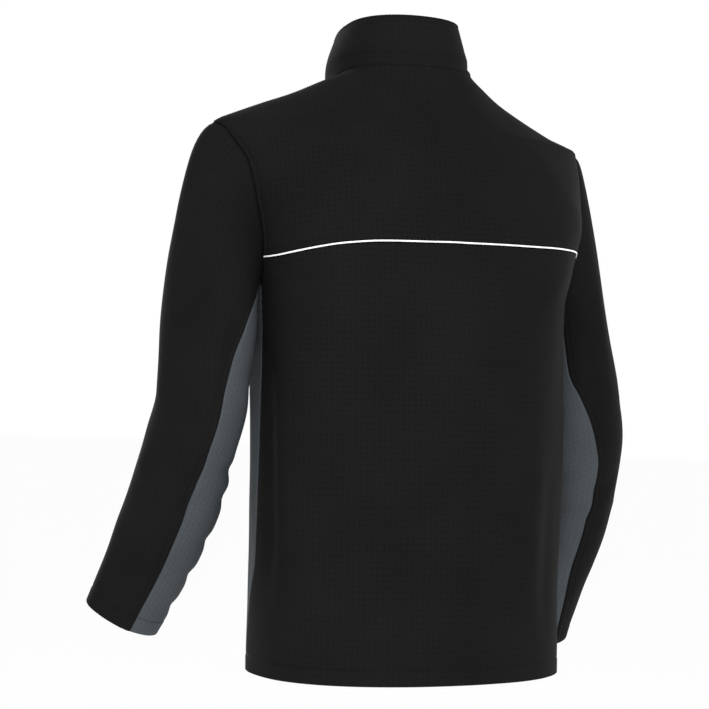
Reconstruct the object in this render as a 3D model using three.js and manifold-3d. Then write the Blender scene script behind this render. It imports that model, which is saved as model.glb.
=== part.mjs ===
// A softshell jacket, filled out and hollow as it hangs on its wearer's shoulders.
// Millimetres, +Z up, the front faces -Y and the wearer's left arm is on +X.
// The origin is the middle of the neck seam, where the shoulders hold the jacket.
import * as THREE from "three";
import { mergeVertices } from "three/addons/utils/BufferGeometryUtils.js";
import Module from "manifold-3d";

const wasm = await Module();
wasm.setup();

// Driving dimensions
const CLOTH = 2.0; // bonded softshell, with the turned edges evened out
const COLLAR_CLOTH = 3.0; // two layers
const SEAM = 0.3; // between neighbouring panels
const NECK = { x: 0, y: -48, z: 712 }; // origin, measured from the hem's centre

// The body from the hem to the collar's rim. Each row is a ring round it: its level, half width,
// where its back, front and sides stand, how full its back and front curves are, from 1 to 3,
// how far it leans to the left, how far its sides alone do so, and how far it dips at the front.
const BODY = [
  { level: 0, half: 188.5, back: 143, front: -143, side: 0, backFull: 2.3, frontFull: 2.3, lean: 0, skew: 0, dip: 0 },
  { level: 110, half: 188, back: 138, front: -145, side: -4, backFull: 2.3, frontFull: 2.3, lean: 0, skew: 0, dip: 0 },
  { level: 220, half: 190, back: 133, front: -147, side: -9, backFull: 2.35, frontFull: 2.3, lean: 0, skew: 0, dip: 0 },
  { level: 330, half: 191, back: 128, front: -150, side: -18, backFull: 2.4, frontFull: 2.3, lean: 0, skew: 0, dip: 0 },
  { level: 426, half: 199, back: 122, front: -152, side: -34, backFull: 2.45, frontFull: 2.3, lean: 1, skew: 0, dip: 0 },
  { level: 480, half: 210, back: 117, front: -152, side: -42, backFull: 2.5, frontFull: 2.3, lean: 2, skew: -2, dip: 0 },
  { level: 533, half: 224, back: 109, front: -150, side: -47, backFull: 2.5, frontFull: 2.25, lean: 4, skew: -6.5, dip: 0 },
  { level: 590, half: 236, back: 93, front: -143, side: -50, backFull: 2.15, frontFull: 2.0, lean: 5, skew: -6, dip: 8 },
  { level: 625, half: 245, back: 77, front: -136, side: -50, backFull: 1.85, frontFull: 1.75, lean: 6, skew: -1, dip: 20 },
  { level: 640, half: 244.5, back: 70, front: -132, side: -50, backFull: 1.7, frontFull: 1.65, lean: 6, skew: -2, dip: 28 },
  { level: 653, half: 216.5, back: 63, front: -129, side: -50, backFull: 1.65, frontFull: 1.6, lean: 7, skew: 3, dip: 36 },
  { level: 669, half: 179, back: 56, front: -127, side: -49, backFull: 1.65, frontFull: 1.6, lean: 7, skew: 4, dip: 45 },
  { level: 686, half: 139.5, back: 50, front: -126, side: -48, backFull: 1.7, frontFull: 1.7, lean: 8, skew: 1.5, dip: 54 },
  { level: 702, half: 109.5, back: 47, front: -126, side: -48, backFull: 1.85, frontFull: 1.9, lean: 8, skew: 0.5, dip: 61 },
  { level: 716, half: 83.5, back: 45, front: -129, side: -48, backFull: 2.1, frontFull: 2.4, lean: 8, skew: -0.5, dip: 66 },
  { level: 719, half: 83, back: 44, front: -130, side: -48, backFull: 2.1, frontFull: 2.5, lean: 8, skew: 0, dip: 66 },
  { level: 736, half: 82, back: 36.5, front: -138, side: -52, backFull: 2.15, frontFull: 2.5, lean: 9, skew: 2.5, dip: 66 },
  { level: 779, half: 69.5, back: 26, front: -147, side: -60, backFull: 2.2, frontFull: 2.4, lean: 10, skew: -1, dip: 66 },
];
const DIP_POWER = 3.5; // how late round the neck the dip begins
const HEM_TILT = 0.0135; // how far the hem hangs lower on the left, for each mm across
const HEM_TILT_REACH = 300; // the level where that ends
const SEAM_BEND = 0.8; // the part of the way up at which a side seam bends to its armhole
const WAIST_RISE = 1.03; // how much higher the back panel's rows stand at its centre
const NECK_LEVEL = 716;
const RIM_LEVEL = 779;

// The armhole is a loop on the body, measured by its turn from the shoulder tip: 90 is its back.
const ARMHOLE = { level: 533, high: 107, wide: 62, panelTurn: 141 };
const TIP_LEVEL = ARMHOLE.level + ARMHOLE.high;

// The seams between the back, the side panels and the fronts, as angles round the body from centre back.
const SIDE_SEAMS = [
  { level: 0, back: 105, front: 126 },
  { level: 35, back: 104.5, front: 125.4 },
  { level: 70, back: 102.8, front: 124.8 },
  { level: 95, back: 98.8, front: 124 },
  { level: 130, back: 94, front: 123 },
  { level: 220, back: 91.2, front: 121 },
  { level: 330, back: 89, front: 118.5 },
  { level: 400, back: 84, front: 114 },
];

// The yoke seam drops to each armhole: early on the left, where the arm pulls it, and late on the right.
// turn is where it meets the armhole, and lean the share of the drop at each part of the way there.
const YOKE = { centre: 505, left: { turn: 119.5 }, right: { turn: 112.5 } };
const YOKE_LEAN = {
  left: [
    { part: 0, lean: 0 },
    { part: 0.1, lean: 0.08 },
    { part: 0.2, lean: 0.115 },
    { part: 0.3, lean: 0.165 },
    { part: 0.45, lean: 0.32 },
    { part: 0.6, lean: 0.54 },
    { part: 0.75, lean: 0.77 },
    { part: 0.87, lean: 0.925 },
    { part: 0.95, lean: 0.985 },
    { part: 1, lean: 1 },
  ],
  right: [
    { part: 0, lean: 0 },
    { part: 0.15, lean: -0.08 },
    { part: 0.3, lean: -0.15 },
    { part: 0.5, lean: -0.28 },
    { part: 0.7, lean: -0.31 },
    { part: 0.87, lean: -0.26 },
    { part: 0.94, lean: 0.12 },
    { part: 1, lean: 1 },
  ],
};
const PIPING = { wide: 2.8, thick: 1.8 };
const PIPING_END = 0.06; // how much of its last step it stops short of each sleeve

// Each sleeve below its cap: the middle of each section, and its half sizes outward and backward.
// across is measured from the wearer's middle, outward.
const SLEEVES = {
  left: [
    { level: 396, across: 251.5, back: -30, out: 52.5, deep: 73 },
    { level: 318, across: 254, back: -34, out: 52.5, deep: 62 },
    { level: 264, across: 263, back: -44, out: 53, deep: 58 },
    { level: 211, across: 268.5, back: -61, out: 56, deep: 55 },
    { level: 153, across: 281.5, back: -81, out: 54, deep: 52 },
    { level: 108, across: 294.5, back: -97, out: 50, deep: 48 },
    { level: 53, across: 314.5, back: -114, out: 45.5, deep: 44 },
  ],
  right: [
    { level: 396, across: 245.5, back: -48, out: 45, deep: 66 },
    { level: 330, across: 254.5, back: -40, out: 52.5, deep: 61 },
    { level: 285, across: 257, back: -38, out: 54.5, deep: 58 },
    { level: 228, across: 257.5, back: -47, out: 52, deep: 56 },
    { level: 172, across: 260.5, back: -69, out: 49.5, deep: 53 },
    { level: 100, across: 259, back: -106, out: 48, deep: 48 },
    { level: 34, across: 259.5, back: -138, out: 46, deep: 44 },
  ],
};
// How the cap leaves the armhole at its top, back or front, and underarm, as parts of its run.
const CAP = {
  left: { top: { out: 0.45, down: 0.19 }, middle: { out: 0.12, down: 0.58 }, under: { out: 0.2, down: 0.82 } },
  right: { top: { out: 0.24, down: 0 }, middle: { out: 0.36, down: 0.7 }, under: { out: 0.25, down: 0.75 } },
};
const BODY_GIRTH_RADIUS = 185;
const ARMHOLE_GIRTH_RADIUS = 75;
const ARM_GIRTH_RADIUS = 52;
// The seams of the under sleeve, as turns round the arm from its outermost line, back first.
const UNDER_SLEEVE = {
  left: [
    { run: 0, back: 141, front: 219 },
    { run: 0.5, back: 127, front: 224 },
    { run: 1, back: 110, front: 228 },
    { run: 1.5, back: 97, front: 232 },
    { run: 2, back: 91.5, front: 236 },
    { run: 3, back: 90.5, front: 238 },
    { run: 4, back: 83.5, front: 240 },
    { run: 7, back: 84, front: 240 },
  ],
  right: [
    { run: 0, back: 141, front: 219 },
    { run: 1, back: 138.5, front: 228 },
    { run: 1.5, back: 135.5, front: 232 },
    { run: 2, back: 120.5, front: 236 },
    { run: 2.5, back: 109.5, front: 238 },
    { run: 3, back: 101, front: 240 },
    { run: 3.5, back: 93, front: 240 },
    { run: 4, back: 92, front: 240 },
    { run: 4.7, back: 97.5, front: 240 },
    { run: 5.2, back: 98, front: 240 },
    { run: 6, back: 90, front: 240 },
    { run: 7, back: 83, front: 240 },
  ],
};

// The zip runs up the centre front to the rim, with its slider at the top.
// Each height is measured out from the face of the cloth, and each level along the front.
const ZIP = { opening: 8.0, top: 772, tapeInner: 3.0, tapeOuter: 7.5, tapeOut: -0.7, tapeIn: -1.7 };
const CHAIN = { half: 2.7, out: 0.7, in: -1.9 };
const SLIDER = { level: 760, wide: 9.0, long: 13.0, plate: 1.3, corner: 2.5, postWide: 4.4, postLong: 3.0 };
const LUG = { wide: 2.0, long: 6.6, rise: 3.9, slotLong: 3.2, slotRise: 2.4, floor: 0.2, corner: 1.2 };
const PULL = { bar: 0.8, armWide: 1.4, armMiddle: 2.4, wide: 7.4, thick: 1.6, long: 30, neck: 8, corner: 2 };

const DEG = Math.PI / 180;
const lerp = THREE.MathUtils.lerp;

// A smooth curve through one column of a table, that never overshoots its rows.
function column(table, key, name) {
  const x = table.map((row) => row[key]);
  const y = table.map((row) => row[name]);
  const slope = x.slice(1).map((to, i) => (y[i + 1] - y[i]) / (to - x[i]));
  const tangent = x.map((_, i) => {
    if (i === 0) return slope[0];
    if (i === x.length - 1) return slope[i - 1];
    const [before, after] = [slope[i - 1], slope[i]];
    return before * after <= 0 ? 0 : (2 * before * after) / (before + after);
  });
  return (at) => {
    let i = 0;
    while (i < x.length - 2 && Math.abs(at - x[0]) > Math.abs(x[i + 1] - x[0])) i++;
    const run = x[i + 1] - x[i];
    const t = THREE.MathUtils.clamp((at - x[i]) / run, 0, 1);
    return hermite(y[i], tangent[i] * run, y[i + 1], tangent[i + 1] * run, t);
  };
}

function hermite(from, leave, to, arrive, t) {
  const s = 1 - t;
  return from * s * s * (1 + 2 * t) + leave * t * s * s + to * t * t * (3 - 2 * t) - arrive * t * t * s;
}

const body = {};
for (const name of Object.keys(BODY[0])) if (name !== "level") body[name] = column(BODY, "level", name);
const seamAngle = { back: column(SIDE_SEAMS, "level", "back"), front: column(SIDE_SEAMS, "level", "front") };
const yokeLean = { left: column(YOKE_LEAN.left, "part", "lean"), right: column(YOKE_LEAN.right, "part", "lean") };

// A point of the body's outer face. angle turns from centre back, 90 is the left side and 180 centre front.
function bodyPoint(angle, level) {
  const sin = Math.sin(angle * DEG);
  const cos = Math.cos(angle * DEG);
  const full = cos > 0 ? body.backFull(level) : body.frontFull(level);
  const side = body.side(level);
  const reach = (cos > 0 ? body.back(level) : body.front(level)) - side;
  const across = Math.sign(sin) * body.half(level) * Math.abs(sin) ** (2 / full);
  const x = body.lean(level) + body.skew(level) * sin * sin + across;
  const y = side + reach * Math.abs(cos) ** (2 / full);
  const dip = body.dip(level) * ((1 - cos) / 2) ** DIP_POWER;
  const tilt = HEM_TILT * x * Math.max(0, 1 - level / HEM_TILT_REACH) ** 2;
  return new THREE.Vector3(x, y, level - dip - tilt);
}

// The direction square to a face, from points a little to each side.
function facing(point, u, v, du, dv) {
  const along = point(u + du, v).sub(point(u - du, v));
  const up = point(u, v + dv).sub(point(u, v - dv));
  return along.cross(up).normalize();
}

function bodyInward(angle, level) {
  return facing(bodyPoint, angle, THREE.MathUtils.clamp(level, 0.6, RIM_LEVEL - 0.6), 0.6, 0.6);
}

// The angle at which the back or front half of a ring stands off its side line by a distance.
function angleAtDepth(level, depth, half) {
  const reach = Math.abs((half === "back" ? body.back(level) : body.front(level)) - body.side(level));
  const full = half === "back" ? body.backFull(level) : body.frontFull(level);
  const angle = Math.acos(Math.min(1, depth / reach) ** (full / 2)) / DEG;
  return half === "back" ? angle : 180 - angle;
}

// The angle at which the front stands off centre front by a distance.
function angleAtWidth(level, width) {
  return 180 - Math.asin((width / body.half(level)) ** (body.frontFull(level) / 2)) / DEG;
}

const loopLevel = (turn) => ARMHOLE.level + ARMHOLE.high * Math.cos(turn * DEG);
const turnAt = (level) => Math.acos((level - ARMHOLE.level) / ARMHOLE.high) / DEG;

function loopAngle(turn) {
  const depth = ARMHOLE.wide * Math.abs(Math.sin(turn * DEG));
  return angleAtDepth(loopLevel(turn), depth, turn <= 180 ? "back" : "front");
}

// A closed wall from a grid of points on its outer face, thickened inward along given directions.
function wall(points, inward, thick) {
  const rows = points.length;
  const cols = points[0].length;
  const inside = points.map((row, i) => row.map((p, j) => p.clone().addScaledVector(inward[i][j], thick)));
  const positions = [...points.flat(), ...inside.flat()].flatMap((p) => [p.x, p.y, p.z]);
  const shift = rows * cols;
  const faces = [];
  const quad = (a, b, c, d) => faces.push(a, b, c, a, c, d);
  for (let i = 0; i < rows - 1; i++)
    for (let j = 0; j < cols - 1; j++) {
      const [a, b, c, d] = [i * cols + j, i * cols + j + 1, (i + 1) * cols + j + 1, (i + 1) * cols + j];
      quad(a, b, c, d);
      quad(a + shift, d + shift, c + shift, b + shift);
    }
  for (let j = 0; j < cols - 1; j++) {
    quad(j, j + shift, j + 1 + shift, j + 1);
    const top = (rows - 1) * cols + j;
    quad(top, top + 1, top + 1 + shift, top + shift);
  }
  for (let i = 0; i < rows - 1; i++) {
    const [low, high] = [i * cols, (i + 1) * cols];
    quad(low, high, high + shift, low + shift);
    const [lowEnd, highEnd] = [low + cols - 1, high + cols - 1];
    quad(lowEnd, lowEnd + shift, highEnd + shift, highEnd);
  }
  const geometry = new THREE.BufferGeometry();
  geometry.setAttribute("position", new THREE.Float32BufferAttribute(positions, 3));
  geometry.setIndex(faces);
  return geometry;
}

// A body panel from rows of { angle, level, seam }, where seam is the seam's own angle at an edge.
function bodyPanel(rows, thick = CLOTH) {
  const points = rows.map((row) => row.map((at) => bodyPoint(at.angle, at.level)));
  const inward = rows.map((row) => row.map((at) => bodyInward(at.seam ?? at.angle, at.level)));
  return outward(wall(points, inward, thick));
}

const steps = (count, from, to) => Array.from({ length: count + 1 }, (_, i) => lerp(from, to, i / count));
// The angle that half a seam spans at the body's side.
const sideGap = SEAM / 2 / BODY_GIRTH_RADIUS / DEG;

// The levels, as parts of the way from the hem to the armhole, that all panels share along the side seams.
const SEAM_STEPS = steps(13, 0, 1);
const BACK_COLUMNS = steps(20, -1, 1);

// One row across the back, from the right edge to the left one. Its ends may stand at other levels.
function backRow(centre, right, left) {
  return BACK_COLUMNS.map((w) => {
    const edge = w < 0 ? right : left;
    const lean = w < 0 ? yokeLean.right : yokeLean.left;
    const level = centre + (edge.level - centre) * lean(Math.abs(w));
    const atEdge = Math.abs(w) === 1;
    const angle = w * (atEdge ? edge.angle : edge.seam);
    return { angle, level, seam: w * edge.seam };
  });
}

function onSideSeam(part) {
  const level = part * loopLevel(ARMHOLE.panelTurn);
  const meets = loopAngle(ARMHOLE.panelTurn);
  const below = seamAngle.back(level);
  const near = Math.max(0, (part - SEAM_BEND) / (1 - SEAM_BEND));
  const seam = lerp(below, meets, near * near);
  return { level, seam, angle: seam - sideGap };
}

function onFrontSeam(part) {
  const turn = 360 - ARMHOLE.panelTurn;
  const level = part * loopLevel(turn);
  const near = Math.max(0, (part - SEAM_BEND) / (1 - SEAM_BEND));
  const seam = lerp(seamAngle.front(level), loopAngle(turn), near * near);
  return { level, seam, angle: seam + sideGap };
}

const onLoop = (turn) => ({ level: loopLevel(turn), seam: loopAngle(turn), angle: loopAngle(turn) });

// The turns at which the panels' corners lie on an armhole, from the shoulder tip round the back.
const PIPING_ROOM = PIPING.wide / 2 + 2 * SEAM;
const CAP_PARTS = [0, 0.15, 0.3, 0.45, 0.6, 0.75, 0.88, 1];
function armholeTurns(side) {
  const seam = loopLevel(side.turn);
  const yoke = CAP_PARTS.map((part) => turnAt(seam + PIPING_ROOM) * (1 - part));
  const back = steps(2, ARMHOLE.panelTurn, turnAt(seam - PIPING_ROOM));
  const under = steps(5, ARMHOLE.panelTurn, 360 - ARMHOLE.panelTurn);
  const front = steps(9, 360 - ARMHOLE.panelTurn, 360);
  return { yoke, back, under, front };
}
const TURNS = { left: armholeTurns(YOKE.left), right: armholeTurns(YOKE.right) };

function backPanel() {
  const rows = SEAM_STEPS.map((part) => {
    const edge = onSideSeam(part);
    return backRow(edge.level * WAIST_RISE, edge, edge);
  });
  const lastCentre = loopLevel(ARMHOLE.panelTurn) * WAIST_RISE;
  for (const i of [1, 2]) {
    const centre = lerp(lastCentre, YOKE.centre - PIPING_ROOM, i / 2);
    rows.push(backRow(centre, onLoop(TURNS.right.back[i]), onLoop(TURNS.left.back[i])));
  }
  return bodyPanel(rows);
}

// The shoulder seam lies on the ridge from the armhole's top to the neck.
function onShoulder(level, half) {
  return { level, seam: 90, angle: angleAtDepth(level, SEAM / 2 + 0.1, half) };
}

const SHOULDER_LEVELS = [646, 653, 661, 669, 678, 686, 694, 702, 709, NECK_LEVEL - SEAM];

function backYoke() {
  const rows = CAP_PARTS.map((part, i) => {
    const last = part === 1;
    const [right, left] = ["right", "left"].map((arm) =>
      last ? onShoulder(TIP_LEVEL, "back") : onLoop(TURNS[arm].yoke[i]),
    );
    const rise = Math.sin(part * 90 * DEG);
    return backRow(lerp(YOKE.centre + PIPING_ROOM, TIP_LEVEL, rise), right, left);
  });
  for (const level of SHOULDER_LEVELS) {
    const edge = onShoulder(level, "back");
    rows.push(backRow(level, edge, edge));
  }
  return bodyPanel(rows);
}

// side is 1 for the wearer's left and -1 for the right.
function mirrored(rows, side) {
  if (side === 1) return rows;
  const across = (at) => ({ ...at, angle: -at.angle, seam: -(at.seam ?? at.angle) });
  return rows.map((row) => row.map(across).reverse());
}

function sidePanel(side) {
  const turns = TURNS.left.under;
  const rows = SEAM_STEPS.map((part) => {
    const [back, front] = [onSideSeam(part), onFrontSeam(part)];
    return turns.map((turn, j) => {
      const w = j / (turns.length - 1);
      const top = loopLevel(turn);
      const straight = lerp(back.seam, front.seam, w);
      const inner = Math.max(0, (part - SEAM_BEND) / (1 - SEAM_BEND)) ** 2;
      const seam = lerp(straight, loopAngle(turn), w > 0 && w < 1 ? inner : 0);
      const gap = w === 0 ? sideGap : w === 1 ? -sideGap : 0;
      return { level: part * top, seam, angle: seam + gap };
    });
  });
  return bodyPanel(mirrored(rows, side));
}

function frontPanel(side) {
  const columns = steps(9, 0, 1);
  const across = (edge) => {
    const zipEdge = angleAtWidth(edge.level, ZIP.opening);
    return columns.map((w) => {
      const angle = lerp(w === 0 ? edge.angle : edge.seam, zipEdge, w);
      return { level: edge.level, angle, seam: lerp(edge.seam, zipEdge, w) };
    });
  };
  const rows = SEAM_STEPS.map((part) => across(onFrontSeam(part)));
  for (const turn of TURNS.left.front.slice(1, -1)) rows.push(across(onLoop(turn)));
  rows.push(across(onShoulder(TIP_LEVEL, "front")));
  for (const level of SHOULDER_LEVELS) rows.push(across(onShoulder(level, "front")));
  return bodyPanel(mirrored(rows, side));
}

// The collar stands on the neck seam and closes at the zip.
function collar() {
  const levels = [NECK_LEVEL, 722, 731, 744, 758, RIM_LEVEL];
  const rows = levels.map((level) => {
    const end = angleAtWidth(level, ZIP.opening);
    return steps(32, -end, end).map((angle) => ({ angle, level }));
  });
  return bodyPanel(rows, COLLAR_CLOTH);
}

// The reflective piping in the yoke seam, a flat bead that stands a little proud.
function piping() {
  const spine = backRow(YOKE.centre, onLoop(YOKE.right.turn), onLoop(YOKE.left.turn));
  const shorten = (end, next) => {
    end.seam = lerp(end.seam, next.seam, PIPING_END);
    end.level = lerp(end.level, next.level, PIPING_END);
  };
  shorten(spine[0], spine[1]);
  shorten(spine[spine.length - 1], spine[spine.length - 2]);
  const outline = [
    { across: -1, rise: -0.6 },
    { across: -1, rise: 0.3 },
    { across: -0.5, rise: 1 },
    { across: 0.5, rise: 1 },
    { across: 1, rise: 0.3 },
    { across: 1, rise: -0.6 },
  ];
  const rows = spine.map(({ seam, level }) => {
    const normal = bodyInward(seam, level).negate();
    const centre = bodyPoint(seam, level);
    const up = bodyPoint(seam, level + 1).sub(bodyPoint(seam, level - 1)).normalize();
    return outline.map(({ across, rise }) =>
      centre
        .clone()
        .addScaledVector(up, (across * PIPING.wide) / 2)
        .addScaledVector(normal, (rise * PIPING.thick) / 2),
    );
  });
  return sweep(rows);
}

// A closed solid through rows of closed outlines, with flat ends.
function sweep(rows) {
  const count = rows[0].length;
  const positions = rows.flat().flatMap((p) => [p.x, p.y, p.z]);
  const faces = [];
  for (let i = 0; i < rows.length - 1; i++)
    for (let j = 0; j < count; j++) {
      const k = (j + 1) % count;
      const [a, b, c, d] = [i * count + j, i * count + k, (i + 1) * count + k, (i + 1) * count + j];
      faces.push(a, b, c, a, c, d);
    }
  const last = (rows.length - 1) * count;
  for (let j = 1; j < count - 1; j++) {
    faces.push(0, j + 1, j);
    faces.push(last, last + j, last + j + 1);
  }
  const geometry = new THREE.BufferGeometry();
  geometry.setAttribute("position", new THREE.Float32BufferAttribute(positions, 3));
  geometry.setIndex(faces);
  return outward(geometry);
}

// Turns a closed geometry's faces out where they were listed the other way round.
function outward(geometry) {
  const p = geometry.attributes.position;
  const index = geometry.index.array;
  const [a, b, c] = [new THREE.Vector3(), new THREE.Vector3(), new THREE.Vector3()];
  let volume = 0;
  for (let i = 0; i < index.length; i += 3) {
    a.fromBufferAttribute(p, index[i]);
    b.fromBufferAttribute(p, index[i + 1]);
    c.fromBufferAttribute(p, index[i + 2]);
    volume += a.dot(b.cross(c));
  }
  if (volume < 0)
    for (let i = 0; i < index.length; i += 3) [index[i], index[i + 1]] = [index[i + 1], index[i]];
  return geometry;
}

// Sleeves. run counts the sections down the arm: 0 is the armhole and 1 the end of the cap.
function sleeveShape(arm) {
  const side = arm === "left" ? 1 : -1;
  const sections = SLEEVES[arm].map((row, i) => ({ ...row, run: i + 1 }));
  const at = {};
  for (const name of ["level", "across", "back", "out", "deep"]) at[name] = column(sections, "run", name);
  const middle = (run) => new THREE.Vector3(side * at.across(run), at.back(run), at.level(run));

  // Below the cap, an oval square to the arm.
  const below = (turn, run) => {
    const before = middle(Math.max(run - 0.05, 1));
    const along = middle(Math.min(run + 0.05, sections.length)).sub(before).normalize();
    const out = new THREE.Vector3(side, 0, 0);
    out.addScaledVector(along, -out.dot(along)).normalize();
    const back = new THREE.Vector3(0, 1, 0);
    back.addScaledVector(along, -back.dot(along)).addScaledVector(out, -out.y).normalize();
    return middle(run)
      .addScaledVector(out, at.out(run) * Math.cos(turn * DEG))
      .addScaledVector(back, at.deep(run) * Math.sin(turn * DEG));
  };
  const cap = (turn, run) => {
    const from = bodyPoint(side * loopAngle(turn), loopLevel(turn));
    from.x += side * SEAM;
    const to = below(turn, 1);
    const length = from.distanceTo(to);
    const high = Math.cos(turn * DEG);
    const { top, middle: half, under } = CAP[arm];
    const end = high > 0 ? top : under;
    const out = lerp(half.out, end.out, Math.abs(high));
    const down = lerp(half.down, end.down, Math.abs(high));
    const arrive = below(turn, 1.05).sub(to).multiplyScalar(20);
    arrive.setLength(length);
    return new THREE.Vector3(
      hermite(from.x, side * out * length, to.x, arrive.x, run),
      hermite(from.y, 0, to.y, arrive.y, run),
      hermite(from.z, -down * length, to.z, arrive.z, run),
    );
  };
  const point = (turn, run) => (run < 1 ? cap(turn, Math.max(run, 0)) : below(turn, run));
  // At the armhole the wall thickens towards the hole's middle, so that it stays clear of the body.
  const inward = (turn, run) => {
    if (run === 0) return new THREE.Vector3(0, -Math.sin(turn * DEG), -Math.cos(turn * DEG));
    const normal = facing(point, turn, Math.min(run, sections.length - 0.03), 1, 0.02);
    return normal.multiplyScalar(side);
  };
  return { point, inward, last: sections.length, side };
}

const sleeveRuns = (last) => [...steps(9, 0, 1), ...steps((last - 1) * 2, 1, last).slice(1)];

// A sleeve panel between two seams: the under sleeve faces the body, the upper sleeve the rest.
// Its columns start at the corners of the body's panels, so that both follow one line.
function sleevePanel(arm, part) {
  const { point, inward, last } = sleeveShape(arm);
  const turns = TURNS[arm];
  const yoke = turns.yoke.slice(0, -1).reverse();
  const upper = [...turns.front.map((turn) => turn - 360), ...yoke, ...turns.back.toReversed()];
  const start = part === "under" ? turns.under : upper;
  const share = start.map((turn) => (turn - start[0]) / (start.at(-1) - start[0]));
  const back = column(UNDER_SLEEVE[arm], "run", "back");
  const front = column(UNDER_SLEEVE[arm], "run", "front");
  const grid = sleeveRuns(last).map((run) => {
    const radius = run < 1 ? ARMHOLE_GIRTH_RADIUS : ARM_GIRTH_RADIUS;
    const gap = SEAM / 2 / radius / DEG;
    const [from, to] = part === "under" ? [back(run), front(run)] : [front(run) - 360, back(run)];
    return share.map((w, j) => {
      const inset = j === 0 ? gap : j === share.length - 1 ? -gap : 0;
      const turn = lerp(from, to, w);
      return { turn: turn + inset, seam: turn, run };
    });
  });
  const wrap = (turn) => (turn + 360) % 360;
  const points = grid.map((row) => row.map((at) => point(wrap(at.turn), at.run)));
  const inner = grid.map((row) => row.map((at) => inward(wrap(at.seam), at.run)));
  return outward(wall(points, inner, CLOTH));
}

// The zip lies in the gap between the fronts. Its frame at a level: across, up and out of the cloth.
function zipFrame(level) {
  const near = THREE.MathUtils.clamp(level, 1, RIM_LEVEL - 1);
  const up = bodyPoint(180, near + 1).sub(bodyPoint(180, near - 1)).normalize();
  const across = new THREE.Vector3(1, 0, 0);
  return { middle: bodyPoint(180, level), up, across, out: across.clone().cross(up).normalize() };
}

function zipStrip(low, high, inner, outer, top) {
  const levels = [...steps(12, 0, 590), 612, 630, 646, 661, 678, 694, 708, 717, 726, 740, top];
  const corners = [
    [low, inner],
    [high, inner],
    [high, outer],
    [low, outer],
  ];
  const rows = levels.map((level) => {
    const { middle, across, out } = zipFrame(level);
    return corners.map(([x, rise]) => middle.clone().addScaledVector(across, x).addScaledVector(out, rise));
  });
  return sweep(rows);
}

// Solids for the metal pieces, which are joined from simple shapes.
function solid(geometry) {
  const bare = geometry.clone();
  bare.deleteAttribute("normal");
  bare.deleteAttribute("uv");
  const merged = mergeVertices(bare, 1e-4);
  const index = merged.index.array;
  const vertProperties = merged.attributes.position.array;
  return new wasm.Manifold(new wasm.Mesh({ numProp: 3, vertProperties, triVerts: new Uint32Array(index) }));
}

function joined(parts, cuts = []) {
  let whole = solid(parts[0]);
  for (const more of parts.slice(1)) whole = whole.add(solid(more));
  for (const cut of cuts) whole = whole.subtract(solid(cut));
  const mesh = whole.getMesh();
  const geometry = new THREE.BufferGeometry();
  geometry.setAttribute("position", new THREE.BufferAttribute(mesh.vertProperties, 3));
  geometry.setIndex(new THREE.BufferAttribute(mesh.triVerts, 1));
  return geometry;
}

function box(x, y, z, at = [0, 0, 0]) {
  return new THREE.BoxGeometry(x, y, z).translate(...at);
}

// A plate with rounded corners, standing in X and Z.
function roundedPlate(wide, high, thick, corner) {
  const shape = new THREE.Shape();
  const [x, z] = [wide / 2 - corner, high / 2 - corner];
  shape.absarc(x, z, corner, 0, Math.PI / 2);
  shape.absarc(-x, z, corner, Math.PI / 2, Math.PI);
  shape.absarc(-x, -z, corner, Math.PI, Math.PI * 1.5);
  shape.absarc(x, -z, corner, Math.PI * 1.5, Math.PI * 2);
  const plate = new THREE.ExtrudeGeometry(shape, { depth: thick, bevelEnabled: false, curveSegments: 3 });
  return plate.rotateX(Math.PI / 2).translate(0, thick / 2, 0);
}

// In the slider's own frame -Y is out of the cloth and +Z is up the zip.
const PLATE_FACE = CHAIN.out + SEAM + SLIDER.plate;
const PIVOT_RISE = PLATE_FACE + LUG.floor + LUG.slotRise / 2;

function sliderShape() {
  const plateOut = roundedPlate(SLIDER.wide, SLIDER.long, SLIDER.plate, SLIDER.corner);
  plateOut.translate(0, SLIDER.plate / 2 - PLATE_FACE, 0);
  const backFace = CHAIN.in - SEAM;
  const plateIn = roundedPlate(SLIDER.wide, SLIDER.long, SLIDER.plate, SLIDER.corner);
  plateIn.translate(0, SLIDER.plate / 2 - backFace, 0);
  const postLow = SLIDER.long / 2 - SLIDER.postLong / 2;
  const postDeep = CHAIN.out - CHAIN.in + 2 * SEAM + SLIDER.plate;
  const post = box(SLIDER.postWide, postDeep, SLIDER.postLong, [0, -(CHAIN.out + CHAIN.in) / 2, postLow]);
  const lug = roundedPlate(LUG.rise + LUG.corner, LUG.long, LUG.wide, LUG.corner);
  lug.rotateZ(Math.PI / 2).translate(0, -PLATE_FACE - (LUG.rise - LUG.corner) / 2, 0);
  const slot = box(LUG.wide * 2, LUG.slotRise, LUG.slotLong, [0, -PIVOT_RISE, 0]);
  return joined([plateOut, post, plateIn, lug], [slot]);
}

// The pull tab hangs from the bar in the lug's slot. Its frame is the bar's middle.
function pullShape() {
  const barLong = 2 * PULL.armMiddle + PULL.armWide;
  const bar = new THREE.CylinderGeometry(PULL.bar, PULL.bar, barLong, 12).rotateZ(Math.PI / 2);
  const arms = [-1, 1].map((side) =>
    box(PULL.armWide, PULL.thick, PULL.neck + 1, [side * PULL.armMiddle, 0, -(PULL.neck + 1) / 2]),
  );
  const high = PULL.long - PULL.neck;
  const plate = roundedPlate(PULL.wide, high, PULL.thick, PULL.corner).translate(0, 0, -PULL.neck - high / 2);
  return joined([bar, ...arms, plate]);
}

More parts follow.
